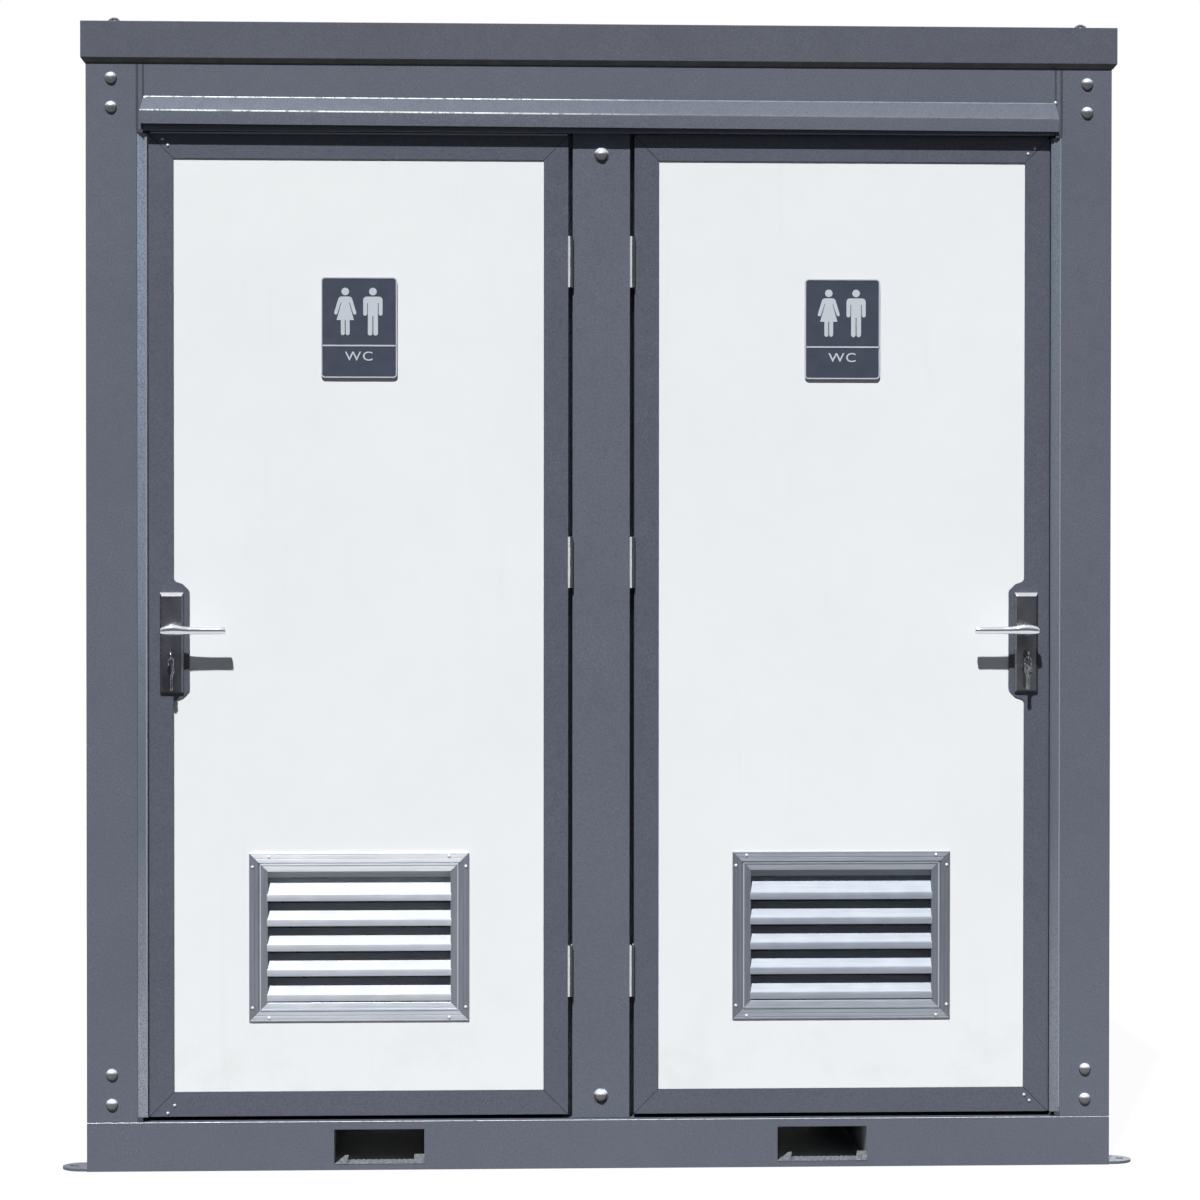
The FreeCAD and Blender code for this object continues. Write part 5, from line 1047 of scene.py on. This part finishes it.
# split ring and two cut keys that hang nearly edge on
def keysFor(side, sign):
    size = keySizes
    x, y, wire = sign * size["x"], size["y"], size["wire"]
    centre = size["top"] - size["radius"]
    made = Builder()
    rings = []
    bends = [2 * math.pi * j / 8 for j in range(8)]
    section = [(x + wire * math.sin(bend), size["radius"] + wire * math.cos(bend)) for bend in bends]
    for k in range(41):
        turn = 2 * math.pi * k / 40
        along, up = math.sin(turn), math.cos(turn)
        rings.append([(px, y + radius * along, centre + radius * up) for px, radius in section])
    made.loft(rings, 0, False)
    low = centre - size["radius"]
    half, bowZ = size["half"], low + 5 - size["bow"]
    for hand in (-1, 1):
        start = x + hand * size["apart"] / 2 - size["thick"] / 2
        neck, shoulder = bowZ - size["neck"], bowZ - size["shoulder"]
        teeth = [(y - half, neck)]
        for number, depth in enumerate(size["cuts"]):
            down = bowZ - size["first"] - number * size["pitch"]
            teeth += [(y - half + depth, down), (y - half + depth, down - size["land"])]
        tip = bowZ + size["bow"] - size["long"] + 0.4
        outline = arc(y, bowZ, size["bow"], -60, 240, 22) + teeth
        outline += [(y - 1, tip), (y + 2.4, tip), (y + half, shoulder), (y + half, neck)]
        hole = arc(y, low - 1.2, size["hole"], 0, 335, 13)
        loops = []
        for line in (outline, hole):
            for across in (start, start + size["thick"]):
                loops.append([made.form.verts.new(Vector((across, a, b)) / 1000) for a, b in line])
        for near, far in (loops[:2], loops[2:]):
            for k in range(len(near)):
                made.form.faces.new((near[k - 1], near[k], far[k], far[k - 1]))
        for pair in (loops[::2], loops[1::2]):
            edges = [made.form.edges.get((loop[k - 1], loop[k])) for loop in pair for k in range(len(loop))]
            bmesh.ops.triangle_fill(made.form, use_beauty=True, use_dissolve=False, edges=edges)
    turn = Matrix.Rotation(math.radians(size["turn"]), 3, "Z")
    bmesh.ops.rotate(made.form, cent=Vector((x, y, 0)) / 1000, matrix=turn, verts=made.form.verts)
    node = f"{side}_key_ring"
    finished(made.thing("keys"), f"{side}_hanging_keys", node, "key_brass", finishes["key_brass"], node)


forBothDoors(keysFor, "keys made")
viewSizes = {
    "place": (-0.3591, -9.3934, 1.3176), "yaw": 0.0547, "pitch": -0.0172, "roll": 0.0009, "lens": 128.15,
    "shift": -0.05,
}


def makeCamera():
    size = viewSizes
    data = withSettings(bpy.data.cameras.new("view"), sensor_width=36, lens=size["lens"],
                        shift_x=size["shift"], clip_end=200)
    thing = flat(data, "view")
    yaw, pitch, roll = (size[key] for key in ("yaw", "pitch", "roll"))
    ahead = Vector((math.sin(yaw) * math.cos(pitch), math.cos(yaw) * math.cos(pitch), math.sin(pitch)))
    right = Vector((math.cos(yaw), -math.sin(yaw), 0))
    above = right.cross(ahead)
    turned = math.cos(roll) * right + math.sin(roll) * above
    raised = -math.sin(roll) * right + math.cos(roll) * above
    thing.matrix_world = (Matrix.Translation(size["place"])
                          @ Matrix((turned, raised, -ahead)).transposed().to_4x4())
    scene.camera = thing


lightSizes = {
    "front": {"heading": (0.24, 1, -1.3), "energy": 4.75, "soft": 1.2},
    "rear": {"heading": (-0.5, -1, -0.8), "energy": 3.0, "soft": 8},
    "fill": 0.055, "fillColour": (0.8, 0.88, 1.0, 1), "white": (1, 1, 1, 1), "grey": (0.2, 0.21, 0.23, 1),
    "mirrorFades": (("Z", 0.15, 0.5), ("Y", -0.75, -0.25)),
    "floor": {"reach": 5, "low": -0.0005, "glow": 0.9, "bounce": (62, 64, 70)},
}


# a sun from the upper left front, and a weaker one behind that only the far sides see
def makeLights():
    for name in ("front", "rear"):
        size = lightSizes[name]
        data = bpy.data.lights.new(name, "SUN")
        withSettings(data, energy=size["energy"], angle=math.radians(size["soft"]))
        thing = flat(data, name)
        thing.rotation_mode = "QUATERNION"
        thing.rotation_quaternion = Vector(size["heading"]).to_track_quat("-Z", "Y")


# even sky light; what sees the sky directly or in a mirror finds white, greyer behind the camera
def makeSky():
    world = bpy.data.worlds.new("studio")
    scene.world = world
    world.use_nodes = True
    tree = world.node_tree
    tree.nodes.clear()
    path = tree.nodes.new("ShaderNodeLightPath").outputs
    coords = tree.nodes.new("ShaderNodeTexCoord").outputs["Generated"]
    parts = newNode(tree, "ShaderNodeSeparateXYZ", {0: coords}).outputs
    shares = {}
    for number, (axis, low, high) in enumerate(lightSizes["mirrorFades"]):
        inputs = {"Value": parts[axis], "From Min": low, "From Max": high}
        faded = newNode(tree, "ShaderNodeMapRange", inputs, interpolation_type="SMOOTHSTEP")
        shares[number] = faded.outputs["Result"]
    most = newNode(tree, "ShaderNodeMath", shares, operation="MAXIMUM").outputs[0]
    inputs = {"Factor": most, 6: lightSizes["grey"], 7: lightSizes["white"]}
    shades = newNode(tree, "ShaderNodeMix", inputs, data_type="RGBA").outputs[2]
    inputs = {0: path["Is Camera Ray"], 1: path["Is Transmission Ray"]}
    seen = newNode(tree, "ShaderNodeMath", inputs, operation="MAXIMUM").outputs[0]
    given = ((lightSizes["fillColour"], lightSizes["fill"]), (lightSizes["white"], 1), (shades, 1))
    lit = [newNode(tree, "ShaderNodeBackground", {0: colour, 1: power}).outputs[0] for colour, power in given]
    sky, white, mirror = lit
    plain = newNode(tree, "ShaderNodeMixShader", {0: seen, 1: sky, 2: white}).outputs[0]
    whole = newNode(tree, "ShaderNodeMixShader", {0: path["Is Glossy Ray"], 1: plain, 2: mirror}).outputs[0]
    newNode(tree, "ShaderNodeOutputWorld", {"Surface": whole})


# pale floor that shows near white with a faint shadow
def makeFloor():
    size = lightSizes["floor"]
    form = bmesh.new()
    bmesh.ops.create_circle(form, cap_ends=True, segments=96, radius=size["reach"])
    mesh = meshOf(form, "floor")
    mesh.transform(Matrix.Translation((0, 0, size["low"])))
    thing = flat(mesh, "floor")
    made = Finish("paleFloor", (238, 238, 237), 0.8)
    made.patches((232, 232, 231), 3, 0.4, 0.7, 0.5)
    path = made.node("ShaderNodeLightPath").outputs
    glow = made.node("ShaderNodeEmission", {"Strength": 1.0}).outputs[0]
    seen = made.both(path["Is Camera Ray"], path["Is Glossy Ray"], "MAXIMUM")
    seen = made.both(seen, path["Is Transmission Ray"], "MAXIMUM")
    made.blend(made.both(1.0, seen, "SUBTRACT"), size["bounce"])
    inputs = {0: made.both(seen, size["glow"]), 1: made.shader.outputs[0], 2: glow}
    mixed = made.node("ShaderNodeMixShader", inputs).outputs[0]
    made.tree.links.new(mixed, made.tree.nodes["Material Output"].inputs["Surface"])
    thing.data.materials.append(made.mat)


makeCamera()
makeLights()
makeSky()
makeFloor()
for thing in patterns:
    bpy.data.objects.remove(thing)
print("scene done")
